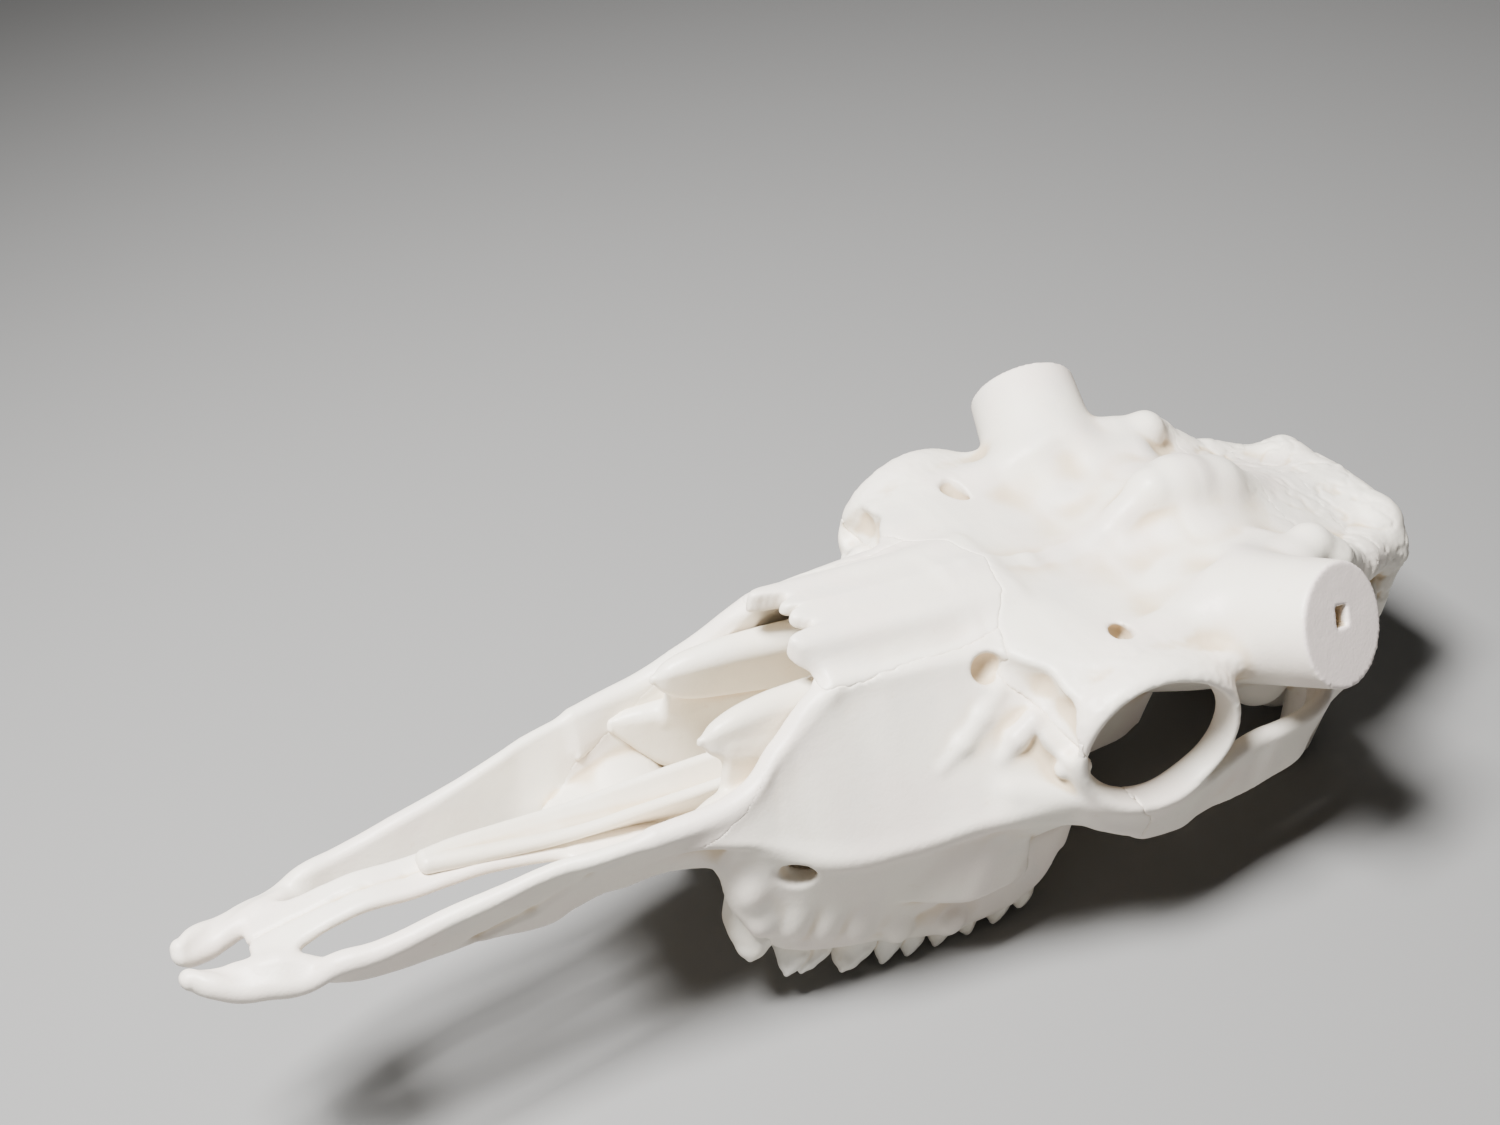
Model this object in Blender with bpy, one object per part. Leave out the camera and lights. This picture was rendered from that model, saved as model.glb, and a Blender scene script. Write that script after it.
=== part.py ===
# Cast replica of a moose skull without its lower jaw, life size.
# Skull frame while modelling: x runs back from the snout tips, y to the right,
# z up, all in metres.  The rest pose is put on at the end through one empty.
# The bone forms are distance fields in Geometry Nodes, mirrored by |y|.
import bpy
import bmesh
from math import cos, radians, sin
from mathutils import Vector

# driving dimensions, metres
CAST_VOXEL = 0.0025
TOOTH_VOXEL = 0.0013
CAST_FACES = 8300
TOOTH_FACES = 800
GAP = 0.0003
WELD = 0.00001
LOW_CORNER = (-0.0050, -0.1400, -0.0450)
HIGH_CORNER = (0.622, 0.140, 0.200)

SOFT_THIN = 0.005
SOFT_FACE = 0.008
SOFT_NAPE = 0.010
SOFT_SKULL = 0.012
SOFT_ROOF = 0.020

PEDICLE_TIP = (0.479, 0.120, 0.160)
PEDICLE_ROOT = (0.466, 0.060, 0.128)
PEDICLE_WAY = (0.120, 0.857, 0.500)
PEDICLE_END_RADIUS = 0.029
PEDICLE_ROOT_RADIUS = 0.036
SOCKET_SIZE = (0.0075, 0.0090)
SOCKET_DEPTH = 0.012
TRIM_SIZE = (0.100, 0.100, 0.060)

ORBIT_CENTRE = (0.405, 0.099, 0.101)
ORBIT_WAY = (-0.16, 0.986, 0.04)
ORBIT_RADIUS = 0.0345
ORBIT_BAR = 0.0042
ORBIT_DEEP = 0.009
ORBIT_STRETCH = 1.15

REST_PITCH = 16.045
REST_DEPTH = 0.13869
FLOOR_FLAT = 0.0004
FLOOR_SIZE = (2.0, 2.0, 0.100)
REST_SHIFT = (-0.3166, 0.0, REST_DEPTH - FLOOR_FLAT)
SMALLEST_NODE = 60

# x, side and height of the lower edge, side and height of the upper edge, half thickness
SNOUT_BAR = [
    (0.006, 0.0065, -0.002, 0.008, 0.000, 0.0040),
    (0.013, 0.0070, -0.004, 0.012, 0.000, 0.0050),
    (0.024, 0.0085, -0.004, 0.017, 0.001, 0.0050),
    (0.044, 0.0190, -0.004, 0.023, 0.005, 0.0048),
    (0.061, 0.0240, 0.001, 0.026, 0.013, 0.0044),
    (0.076, 0.0260, 0.002, 0.028, 0.017, 0.0040),
    (0.105, 0.0250, 0.003, 0.030, 0.029, 0.0040),
    (0.121, 0.0255, 0.004, 0.032, 0.034, 0.0038),
    (0.149, 0.0250, 0.002, 0.037, 0.041, 0.0035),
    (0.165, 0.0240, 0.007, 0.041, 0.046, 0.0035),
    (0.187, 0.0310, 0.020, 0.044, 0.052, 0.0035),
    (0.204, 0.0340, 0.026, 0.046, 0.057, 0.0035),
    (0.223, 0.0380, 0.028, 0.047, 0.063, 0.0040),
    (0.245, 0.0420, 0.030, 0.041, 0.083, 0.0040),
    (0.270, 0.0440, 0.032, 0.035, 0.106, 0.0040),
]
PALATE_BAR = [
    (0.034, 0.0040, 0.001, 0.0130, 0.001, 0.0040),
    (0.050, 0.0040, 0.0080, 0.0100, 0.0080, 0.0036),
    (0.067, 0.0040, 0.0145, 0.0092, 0.0145, 0.0034),
    (0.079, 0.0035, 0.0170, 0.0092, 0.0170, 0.0034),
    (0.096, 0.0035, 0.0185, 0.0092, 0.0185, 0.0034),
    (0.114, 0.0035, 0.0215, 0.0090, 0.0215, 0.0034),
    (0.132, 0.0035, 0.0230, 0.0088, 0.0230, 0.0034),
    (0.157, 0.0030, 0.0230, 0.0095, 0.0230, 0.0034),
    (0.172, 0.0030, 0.0220, 0.0200, 0.0220, 0.0038),
]
VOMER_RIM = [
    (0.107, 0.0010, 0.0285, 0.0030, 0.0290, 0.0030),
    (0.120, 0.0010, 0.0295, 0.0045, 0.0305, 0.0030),
    (0.140, 0.0010, 0.0300, 0.0065, 0.0320, 0.0026),
    (0.167, 0.0010, 0.0295, 0.0075, 0.0335, 0.0023),
    (0.205, 0.0010, 0.0295, 0.0080, 0.0385, 0.0022),
    (0.240, 0.0010, 0.0300, 0.0085, 0.0440, 0.0022),
    (0.345, 0.0010, 0.0340, 0.0080, 0.0580, 0.0022),
]
VOMER_KEEL = [
    (0.112, 0.0, 0.0240, 0.0, 0.0290, 0.0030),
    (0.170, 0.0, 0.0200, 0.0, 0.0300, 0.0030),
    (0.345, 0.0, 0.0140, 0.0, 0.0340, 0.0030),
]
FACE_WALL = [
    (0.190, 0.038, 0.042, 0.044, 0.054, 0.0030),
    (0.222, 0.052, 0.050, 0.047, 0.063, 0.0040),
    (0.245, 0.058, 0.046, 0.041, 0.083, 0.0040),
    (0.269, 0.067, 0.041, 0.036, 0.106, 0.0040),
    (0.300, 0.075, 0.046, 0.040, 0.112, 0.0040),
    (0.330, 0.082, 0.057, 0.043, 0.115, 0.0050),
    (0.355, 0.090, 0.070, 0.046, 0.115, 0.0060),
    (0.378, 0.096, 0.082, 0.054, 0.117, 0.0060),
]
CHEEK = [
    (0.228, 0.050, 0.042, 0.042, 0.022, 0.0040),
    (0.242, 0.056, 0.041, 0.048, -0.002, 0.0045),
    (0.269, 0.066, 0.037, 0.055, -0.006, 0.0060),
    (0.300, 0.074, 0.041, 0.060, -0.014, 0.0050),
    (0.330, 0.081, 0.051, 0.063, -0.014, 0.0050),
    (0.360, 0.091, 0.062, 0.066, -0.006, 0.0050),
    (0.385, 0.096, 0.068, 0.070, 0.006, 0.0050),
]
TOOTH_BED = [
    (0.242, 0.043, 0.008, 0.043, -0.004, 0.0050),
    (0.250, 0.046, 0.010, 0.046, -0.008, 0.0080),
    (0.265, 0.048, 0.010, 0.048, -0.010, 0.0100),
    (0.300, 0.051, 0.012, 0.051, -0.014, 0.0105),
    (0.330, 0.054, 0.014, 0.054, -0.014, 0.0105),
    (0.360, 0.058, 0.018, 0.058, -0.006, 0.0105),
    (0.388, 0.062, 0.022, 0.062, 0.005, 0.0100),
    (0.402, 0.063, 0.030, 0.063, 0.020, 0.0080),
]
PALATE = [
    (0.170, 0.002, 0.018, 0.018, 0.019, 0.0035),
    (0.190, 0.000, 0.018, 0.028, 0.024, 0.0045),
    (0.212, 0.000, 0.016, 0.033, 0.030, 0.0045),
    (0.240, 0.000, 0.013, 0.038, 0.014, 0.0050),
    (0.300, 0.000, 0.010, 0.042, 0.000, 0.0060),
    (0.360, 0.000, 0.014, 0.048, 0.008, 0.0060),
    (0.394, 0.010, 0.020, 0.052, 0.018, 0.0060),
]
NASALS = [
    (0.262, 0.003, 0.125, 0.020, 0.121, 0.0030),
    (0.300, 0.000, 0.128, 0.034, 0.113, 0.0040),
    (0.340, 0.000, 0.131, 0.040, 0.115, 0.0050),
    (0.362, 0.000, 0.131, 0.042, 0.115, 0.0060),
]
ROOF = [
    (0.350, 0.000, 0.131, 0.036, 0.117, 0.0060),
    (0.380, 0.000, 0.130, 0.078, 0.121, 0.0060),
    (0.400, 0.000, 0.128, 0.094, 0.124, 0.0060),
    (0.420, 0.000, 0.128, 0.098, 0.124, 0.0060),
    (0.440, 0.000, 0.134, 0.096, 0.124, 0.0070),
    (0.455, 0.000, 0.148, 0.090, 0.128, 0.0080),
    (0.470, 0.000, 0.163, 0.084, 0.134, 0.0090),
    (0.491, 0.000, 0.170, 0.074, 0.140, 0.0090),
    (0.529, 0.000, 0.156, 0.060, 0.140, 0.0090),
    (0.560, 0.000, 0.152, 0.050, 0.138, 0.0090),
    (0.600, 0.000, 0.153, 0.038, 0.150, 0.0090),
]
CHEEKBONE = [
    (0.345, 0.084, 0.058, 0.082, 0.072, 0.0050),
    (0.370, 0.095, 0.058, 0.096, 0.072, 0.0055),
    (0.390, 0.099, 0.052, 0.103, 0.066, 0.0055),
    (0.405, 0.100, 0.047, 0.106, 0.063, 0.0055),
    (0.422, 0.100, 0.045, 0.107, 0.064, 0.0055),
    (0.436, 0.100, 0.045, 0.107, 0.067, 0.0055),
    (0.450, 0.102, 0.049, 0.106, 0.077, 0.0050),
    (0.467, 0.104, 0.056, 0.106, 0.088, 0.0045),
    (0.482, 0.106, 0.065, 0.107, 0.092, 0.0045),
    (0.495, 0.106, 0.071, 0.106, 0.094, 0.0045),
    (0.510, 0.100, 0.078, 0.102, 0.096, 0.0050),
    (0.525, 0.091, 0.083, 0.093, 0.099, 0.0055),
    (0.545, 0.080, 0.090, 0.080, 0.100, 0.0070),
]
WING = [
    (0.394, 0.044, 0.052, 0.038, 0.020, 0.0050),
    (0.420, 0.030, 0.060, 0.026, 0.018, 0.0040),
    (0.450, 0.021, 0.062, 0.019, 0.020, 0.0035),
    (0.480, 0.016, 0.060, 0.014, 0.020, 0.0030),
    (0.498, 0.013, 0.045, 0.011, 0.026, 0.0026),
]
LOWER_SCROLL = [
    (0.196, 0.021, 0.064, 0.023, 0.064, 0.0025),
    (0.212, 0.022, 0.062, 0.025, 0.066, 0.0055),
    (0.240, 0.022, 0.060, 0.029, 0.072, 0.0080),
    (0.280, 0.022, 0.060, 0.031, 0.078, 0.0085),
    (0.345, 0.022, 0.062, 0.031, 0.080, 0.0085),
]
UPPER_SCROLL = [
    (0.223, 0.020, 0.080, 0.021, 0.080, 0.0025),
    (0.240, 0.020, 0.085, 0.024, 0.082, 0.0065),
    (0.280, 0.019, 0.095, 0.026, 0.090, 0.0085),
    (0.345, 0.019, 0.096, 0.026, 0.092, 0.0085),
]
# x, middle height, half width, half height of the closed middle of the skull
CORE = [
    (0.328, 0.072, 0.020, 0.030),
    (0.345, 0.072, 0.060, 0.044),
    (0.375, 0.072, 0.056, 0.046),
    (0.398, 0.076, 0.037, 0.042),
    (0.420, 0.090, 0.021, 0.038),
    (0.450, 0.102, 0.024, 0.048),
    (0.490, 0.106, 0.046, 0.058),
    (0.520, 0.104, 0.054, 0.054),
    (0.560, 0.103, 0.057, 0.050),
    (0.590, 0.103, 0.050, 0.044),
    (0.602, 0.106, 0.040, 0.036),
]
CORE_POWER = 2.4

# rods: two ends, a radius and a second radius where they taper
PALATE_GROOVE = ((0.054, 0.0, 0.0155), (0.132, 0.0, 0.0285), 0.0022)
ARCH_ROOT = ((0.550, 0.055, 0.098), (0.540, 0.078, 0.096), 0.015, 0.010)
NAPE_CREST = [
    ((0.599, 0.0, 0.151), (0.599, 0.034, 0.149), 0.012),
    ((0.599, 0.034, 0.149), (0.601, 0.044, 0.138), 0.012, 0.010),
    ((0.602, 0.044, 0.138), (0.600, 0.046, 0.104), 0.010),
    ((0.566, 0.054, 0.142), (0.600, 0.044, 0.140), 0.012, 0.010),
]
NECK_PROCESS = ((0.582, 0.046, 0.080), (0.573, 0.055, 0.030), 0.014, 0.009)
EAR_PROCESS = ((0.578, 0.050, 0.112), (0.586, 0.058, 0.084), 0.015, 0.009)
SPINAL_HOLE = ((0.620, 0.0, 0.066), (0.575, 0.0, 0.070), 0.015)
TEMPORAL_HOLE = ((0.486, 0.082, 0.080), (0.488, 0.066, 0.100), 0.018, 0.022)
ORBIT_HOLE = [
    ((0.400, 0.125, 0.103), (0.407, 0.080, 0.097), 0.0305, 0.031),
    ((0.409, 0.125, 0.103), (0.409, 0.080, 0.097), 0.0305, 0.031),
    ((0.407, 0.080, 0.094), (0.440, 0.044, 0.066), 0.031, 0.026),
]
# rounded lumps: centre, half sizes and a turn in degrees
PALATE_BACK = ((0.366, 0.0, 0.020), (0.030, 0.040, 0.011))
NASAL_NOTCH = ((0.256, 0.0115, 0.122), (0.009, 0.0035, 0.012))
TEAR_BONE = ((0.374, 0.080, 0.104), (0.020, 0.016, 0.020))
NAPE_FACE = ((0.588, 0.0, 0.108), (0.020, 0.052, 0.048))
CONDYLE = ((0.584, 0.023, 0.047), (0.021, 0.013, 0.019), (0, 35, 12))
EAR_BULB = ((0.548, 0.038, 0.060), (0.018, 0.013, 0.013))
NAPE_BROW = ((0.516, 0.062, 0.146), (0.038, 0.018, 0.016))

# cheek teeth: front x, length, lobes
TEETH = [
    ("second_premolar", 0.241, 0.019, 1),
    ("third_premolar", 0.261, 0.023, 1),
    ("fourth_premolar", 0.285, 0.024, 1),
    ("first_molar", 0.310, 0.028, 2),
    ("second_molar", 0.339, 0.030, 2),
    ("third_molar", 0.370, 0.031, 2),
]
# x and side of the tooth row, height of the cusps and of the gum edge
ROW_SIDE = [
    (0.238, 0.046), (0.270, 0.050), (0.295, 0.053), (0.327, 0.056), (0.352, 0.060), (0.373, 0.063),
    (0.402, 0.065),
]
ROW_TIPS = [
    (0.238, -0.033), (0.252, -0.040), (0.269, -0.045), (0.295, -0.049), (0.327, -0.049),
    (0.352, -0.043), (0.373, -0.035), (0.402, -0.022),
]
ROW_GUM = [
    (0.238, -0.008), (0.269, -0.014), (0.300, -0.019), (0.330, -0.019), (0.360, -0.010),
    (0.402, 0.008),
]

# rods of one tooth lobe: side and height over the gum edge, side and height over the tip,
# and its radii as shares of the lobe's half width
LOBE_BODIES = [(0.0030, 0.010, 0.0035, 0.015, 0.95, 0.80), (-0.0060, 0.008, -0.0050, 0.017, 0.85, 0.68)]
# cusps: side, height of root and point over the tip, share of the half width, point radius, lean
LOBE_CUSPS = [
    (0.0050, 0.014, 0.0014, 0.62, 0.0013, 0.0015), (-0.0050, 0.016, 0.0070, 0.55, 0.0018, -0.0015),
]
LEAN_STEP = 2.1

TOOTH_LOW = (0.225, -0.085, -0.056)
TOOTH_HIGH = (0.415, 0.085, 0.030)

# lines of the thin cuts between the named bones
FACE_CUT = [
    (0.3620, 0.1700), (0.3620, 0.1085), (0.3700, 0.0960), (0.3820, 0.0840),
    (0.4060, 0.0640), (0.4130, 0.0540), (0.4130, -0.0700),
]
SNOUT_CUT = [
    (0.2460, 0.1000), (0.2280, 0.0660), (0.2000, 0.0420), (0.1830, 0.0300), (0.1740, 0.0120),
    (0.1760, -0.0200),
]
CROWN_CUT = [
    (0.3759, 0.0901), (0.3980, 0.0960), (0.4400, 0.0980), (0.4900, 0.1200), (0.5300, 0.1280),
    (0.5340, 0.1450), (0.5300, 0.1900),
]
NAPE_CUT = [
    (0.5700, 0.1900), (0.5720, 0.1560), (0.5660, 0.1300), (0.5690, 0.1000), (0.5600, 0.0700),
    (0.5560, 0.0100),
]
NASAL_CUT = [(-0.0400, 0.1500), (-0.0395, 0.1105), (0.0395, 0.1105), (0.0400, 0.1500)]
VOMER_CUT = [
    (0.0950, 0.0250), (0.1150, 0.0266), (0.1300, 0.0275), (0.1600, 0.0272), (0.1900, 0.0256),
    (0.2400, 0.0235), (0.3242, 0.0230),
]
SCROLL_CUT = [
    (-0.045, 0.0228), (0.045, 0.0228), (0.045, 0.0900), (0.038, 0.1105), (-0.038, 0.1105),
    (-0.045, 0.0900),
]
SCROLL_X = 0.3240
MIDDLE_CUT = (
    [(-0.0100, -0.0700), (-0.0100, 0.0400), (0.0950, 0.0400)]
    + VOMER_CUT
    + [(0.3242, 0.1105), (0.3620, 0.1105)]
    + FACE_CUT[1:]
)
NASAL_CUT_REACH = (0.250, 0.362)
NASAL_MIDDLE_CUT = [(0.2500, 0.1105), (0.2500, 0.1500), (0.3620, 0.1500), (0.3620, 0.1105)]
PEDICLE_CUT = 0.60
PEDICLE_CUT_SIZE = (0.074, 0.074, GAP)
ARCH_CUT = [(0.5120, 0.0700), (0.5180, 0.0900), (0.5140, 0.1060), (0.5200, 0.1400)]
ARCH_CUT_HEIGHTS = (0.060, 0.125)
VOMER_CUT_SIDE = 0.0125
SKULL_CUT_SIDE = 0.150
SNOUT_CUT_SIDE = 0.090
NAPE_CUT_SIDE = 0.110

# node, its middle, its colour
NODES = [
    ("premaxilla_left", (0.110, -0.025, 0.020), "cast_cream"),
    ("premaxilla_right", (0.110, 0.025, 0.020), "cast_cream"),
    ("maxilla_left", (0.300, -0.055, 0.030), "cast_cream"),
    ("maxilla_right", (0.300, 0.055, 0.030), "cast_cream"),
    ("nasal_left", (0.320, -0.020, 0.122), "cast_cream"),
    ("nasal_right", (0.320, 0.020, 0.122), "cast_cream"),
    ("vomer", (0.210, 0.000, 0.034), "cast_inner"),
    ("turbinate_left", (0.270, -0.026, 0.078), "cast_inner"),
    ("turbinate_right", (0.270, 0.026, 0.078), "cast_inner"),
    ("frontal", (0.440, 0.000, 0.135), "cast_cream"),
    ("pedicle_left", (0.473, -0.108, 0.153), "cast_cut"),
    ("pedicle_right", (0.473, 0.108, 0.153), "cast_cut"),
    ("zygomatic_left", (0.450, -0.102, 0.070), "cast_cream"),
    ("zygomatic_right", (0.450, 0.102, 0.070), "cast_cream"),
    ("cranium", (0.480, 0.000, 0.090), "cast_inner"),
    ("occipital", (0.588, 0.000, 0.100), "cast_cream"),
]

COLOURS = {
    "cast_cream": (0.86, 0.83, 0.76, 1.0),
    "cast_inner": (0.83, 0.78, 0.66, 1.0),
    "cast_cut": (0.87, 0.80, 0.76, 1.0),
}
ROUGHNESS = 0.48


class Field:
    def __init__(self, socket):
        self.socket = socket

    def __add__(self, other):
        return maths("ADD", self, other)

    def __radd__(self, other):
        return maths("ADD", other, self)

    def __sub__(self, other):
        return maths("SUBTRACT", self, other)

    def __rsub__(self, other):
        return maths("SUBTRACT", other, self)

    def __mul__(self, other):
        return maths("MULTIPLY", self, other)

    def __rmul__(self, other):
        return maths("MULTIPLY", other, self)

    def __truediv__(self, other):
        return maths("DIVIDE", self, other)

    def __neg__(self):
        return maths("MULTIPLY", self, -1.0)


def maths(kind, *values):
    if not any(isinstance(value, Field) for value in values):
        first, second = values
        return {"ADD": first + second, "SUBTRACT": first - second, "MULTIPLY": first * second}[kind]
    node = Clay.tree.nodes.new("ShaderNodeMath")
    node.operation = kind
    for i, value in enumerate(values):
        if isinstance(value, Field):
            Clay.tree.links.new(value.socket, node.inputs[i])
        else:
            node.inputs[i].default_value = value
    return Field(node.outputs[0])


def vector(kind, first, second=None, out=0):
    node = Clay.tree.nodes.new("ShaderNodeVectorMath")
    node.operation = kind
    for i, value in enumerate((first, second)):
        if isinstance(value, bpy.types.NodeSocket):
            Clay.tree.links.new(value, node.inputs[i])
        elif value is not None:
            node.inputs[i].default_value = value
    return node.outputs[out]


class Clay:
    tree = None

    def __init__(self, name):
        Clay.tree = bpy.data.node_groups.new(name, "GeometryNodeTree")
        self.tree = Clay.tree
        self.tree.interface.new_socket(name="Mesh", in_out="OUTPUT", socket_type="NodeSocketGeometry")
        place = self.tree.nodes.new("GeometryNodeInputPosition")
        parts = self.tree.nodes.new("ShaderNodeSeparateXYZ")
        self.tree.links.new(place.outputs[0], parts.inputs[0])
        self.x = Field(parts.outputs[0])
        self.side = maths("ABSOLUTE", Field(parts.outputs[1]))
        self.z = Field(parts.outputs[2])
        fold = self.tree.nodes.new("ShaderNodeCombineXYZ")
        for i, value in enumerate((self.x, self.side, self.z)):
            self.tree.links.new(value.socket, fold.inputs[i])
        self.point = fold.outputs[0]


def clamp(value):
    return maths("MINIMUM", maths("MAXIMUM", value, 0.0), 1.0)


def join(fields, soft):
    total = fields[0]
    for field in fields[1:]:
        total = maths("SMOOTH_MIN", total, field, soft)
    return total


def carve(field, tool, soft):
    return maths("SMOOTH_MAX", field, -tool, soft)


def profile(at, points):
    values = [point[1] for point in points]
    low = min(values)
    high = max(values)
    if high - low < 1e-6:
        return low
    node = Clay.tree.nodes.new("ShaderNodeFloatCurve")
    curve = node.mapping.curves[0]
    start = points[0][0]
    span = points[-1][0] - start
    places = [((x - start) / span, (value - low) / (high - low)) for x, value in points]
    curve.points[0].location = places[0]
    curve.points[1].location = places[-1]
    for place in places[1:-1]:
        curve.points.new(*place)
    for point in curve.points:
        point.handle_type = "AUTO_CLAMPED"
    node.mapping.update()
    Clay.tree.links.new(((at - start) * (1.0 / span)).socket, node.inputs["Value"])
    return Field(node.outputs[0]) * (high - low) + low


def columns(clay, rows):
    return [profile(clay.x, [(row[0], row[i]) for row in rows]) for i in range(1, len(rows[0]))]


def rail(clay, rows):
    side_a, height_a, side_b, height_b, half = columns(clay, rows)
    across = maths("SUBTRACT", side_b, side_a)
    rise = maths("SUBTRACT", height_b, height_a)
    off_side = clay.side - side_a
    off_height = clay.z - height_a
    length = maths("ADD", maths("MULTIPLY", across, across), maths("MULTIPLY", rise, rise))
    share = maths("MULTIPLY", off_side, across) + maths("MULTIPLY", off_height, rise)
    share = clamp(maths("DIVIDE", share, maths("ADD", length, 1e-8)))
    left_side = off_side - maths("MULTIPLY", share, across)
    left_height = off_height - maths("MULTIPLY", share, rise)
    past = maths("MAXIMUM", maths("MAXIMUM", rows[0][0] - clay.x, clay.x - rows[-1][0]), 0.0)
    return maths("SQRT", left_side * left_side + left_height * left_height + past * past) - half


def blob(clay, centre, radii, turn=None):
    place = vector("SUBTRACT", clay.point, centre)
    if turn:
        node = Clay.tree.nodes.new("ShaderNodeVectorRotate")
        node.rotation_type = "EULER_XYZ"
        node.invert = True
        Clay.tree.links.new(place, node.inputs["Vector"])
        node.inputs["Rotation"].default_value = [radians(angle) for angle in turn]
        place = node.outputs[0]
    return (Field(vector("LENGTH", vector("DIVIDE", place, radii), out=1)) - 1.0) * min(radii)


def rod(clay, start, end, radius, end_radius=None):
    if end_radius is None:
        end_radius = radius
    axis = Vector(end) - Vector(start)
    place = vector("SUBTRACT", clay.point, start)
    share = clamp(Field(vector("DOT_PRODUCT", place, axis / axis.length_squared, out=1)))
    node = Clay.tree.nodes.new("ShaderNodeVectorMath")
    node.operation = "SCALE"
    node.inputs[0].default_value = axis
    Clay.tree.links.new(share.socket, node.inputs["Scale"])
    distance = Field(vector("LENGTH", vector("SUBTRACT", place, node.outputs[0]), out=1))
    return distance - (share * (end_radius - radius) + radius)


def body(clay, rows, power):
    middle, width, height = columns(clay, rows)
    across = maths("POWER", clay.side / width, power)
    along = maths("POWER", maths("ABSOLUTE", (clay.z - middle) / height), power)
    form = (maths("POWER", across + along, 1.0 / power) - 1.0) * maths("MINIMUM", width, height)
    past = maths("MAXIMUM", rows[0][0] - clay.x, clay.x - rows[-1][0])
    return maths("MAXIMUM", form, past)


def hoop(clay, centre, way, radius, bar, deep, stretch):
    way = Vector(way).normalized()
    place = vector("DIVIDE", vector("SUBTRACT", clay.point, centre), (stretch, 1.0, 1.0))
    height = Field(vector("DOT_PRODUCT", place, way, out=1))
    full = Field(vector("LENGTH", place, out=1))
    out = maths("SQRT", maths("MAXIMUM", full * full - height * height, 0.0)) - radius
    return (maths("SQRT", out * out * (1.0 / bar ** 2) + height * height * (1.0 / deep ** 2)) - 1.0) * bar


def cast_form(clay):
    palate_bar = carve(rail(clay, PALATE_BAR), rod(clay, *PALATE_GROOVE), 0.002)
    face = join([rail(clay, SNOUT_BAR), palate_bar, rail(clay, PALATE), blob(clay, *PALATE_BACK)], SOFT_THIN)
    face = join([face, rail(clay, FACE_WALL), rail(clay, CHEEK), rail(clay, TOOTH_BED)], SOFT_FACE)
    nasals = carve(rail(clay, NASALS), blob(clay, *NASAL_NOTCH), 0.001)
    face = join([face, nasals], SOFT_THIN)
    skull = join([body(clay, CORE, CORE_POWER), rail(clay, ROOF)], SOFT_ROOF)
    pedicle = rod(clay, PEDICLE_ROOT, PEDICLE_TIP, PEDICLE_ROOT_RADIUS, PEDICLE_END_RADIUS)
    eye_ring = hoop(clay, ORBIT_CENTRE, ORBIT_WAY, ORBIT_RADIUS, ORBIT_BAR, ORBIT_DEEP, ORBIT_STRETCH)
    cheekbone = [rail(clay, CHEEKBONE), rod(clay, *ARCH_ROOT), blob(clay, *TEAR_BONE)]
    skull = join([skull, pedicle, eye_ring, *cheekbone], SOFT_SKULL)
    nape = join([rod(clay, *crest) for crest in NAPE_CREST] + [blob(clay, *NAPE_FACE)], SOFT_NAPE)
    lumps = [blob(clay, *lump) for lump in (CONDYLE, EAR_BULB, NAPE_BROW)]
    processes = [rod(clay, *process) for process in (NECK_PROCESS, EAR_PROCESS)]
    skull = join([skull, nape, *processes, *lumps, rail(clay, WING)], SOFT_NAPE)
    skull = carve(skull, rod(clay, *SPINAL_HOLE), 0.004)
    whole = join([face, skull], SOFT_NAPE)
    whole = carve(whole, join([rod(clay, *hole) for hole in ORBIT_HOLE], SOFT_FACE), 0.004)
    whole = carve(whole, rod(clay, *TEMPORAL_HOLE), 0.006)
    inner = join([rail(clay, VOMER_RIM), rail(clay, VOMER_KEEL)], 0.003)
    inner = maths("MINIMUM", inner, join([rail(clay, LOWER_SCROLL), rail(clay, UPPER_SCROLL)], 0.003))
    return maths("MINIMUM", whole, inner)


def row_at(points, x):
    for (x0, v0), (x1, v1) in zip(points, points[1:]):
        if x <= x1:
            return v0 + (v1 - v0) * max(0.0, (x - x0) / (x1 - x0))
    return points[-1][1]


def tooth_form(clay):
    lobes = []
    for number, (name, front, length, count) in enumerate(TEETH):
        for lobe in range(count):
            step = length / count
            x = front + step * (lobe + 0.5)
            side = row_at(ROW_SIDE, x)
            tip = row_at(ROW_TIPS, x)
            gum = row_at(ROW_GUM, x)
            wide = step / 2
            rods = []
            for side_a, over_gum, side_b, over_tip, share_a, share_b in LOBE_BODIES:
                start = (x, side + side_a, gum + over_gum)
                end = (x, side + side_b, tip + over_tip)
                rods.append(rod(clay, start, end, wide * share_a, wide * share_b))
            for off, root, point, share, radius, lean in LOBE_CUSPS:
                end = (x + lean * sin(LEAN_STEP * (number + lobe)), side + off, tip + point)
                rods.append(rod(clay, (x, side + off, tip + root), end, wide * share, radius))
            lobes.append(join(rods, 0.003))
    return join(lobes, 0.0015)


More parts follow.
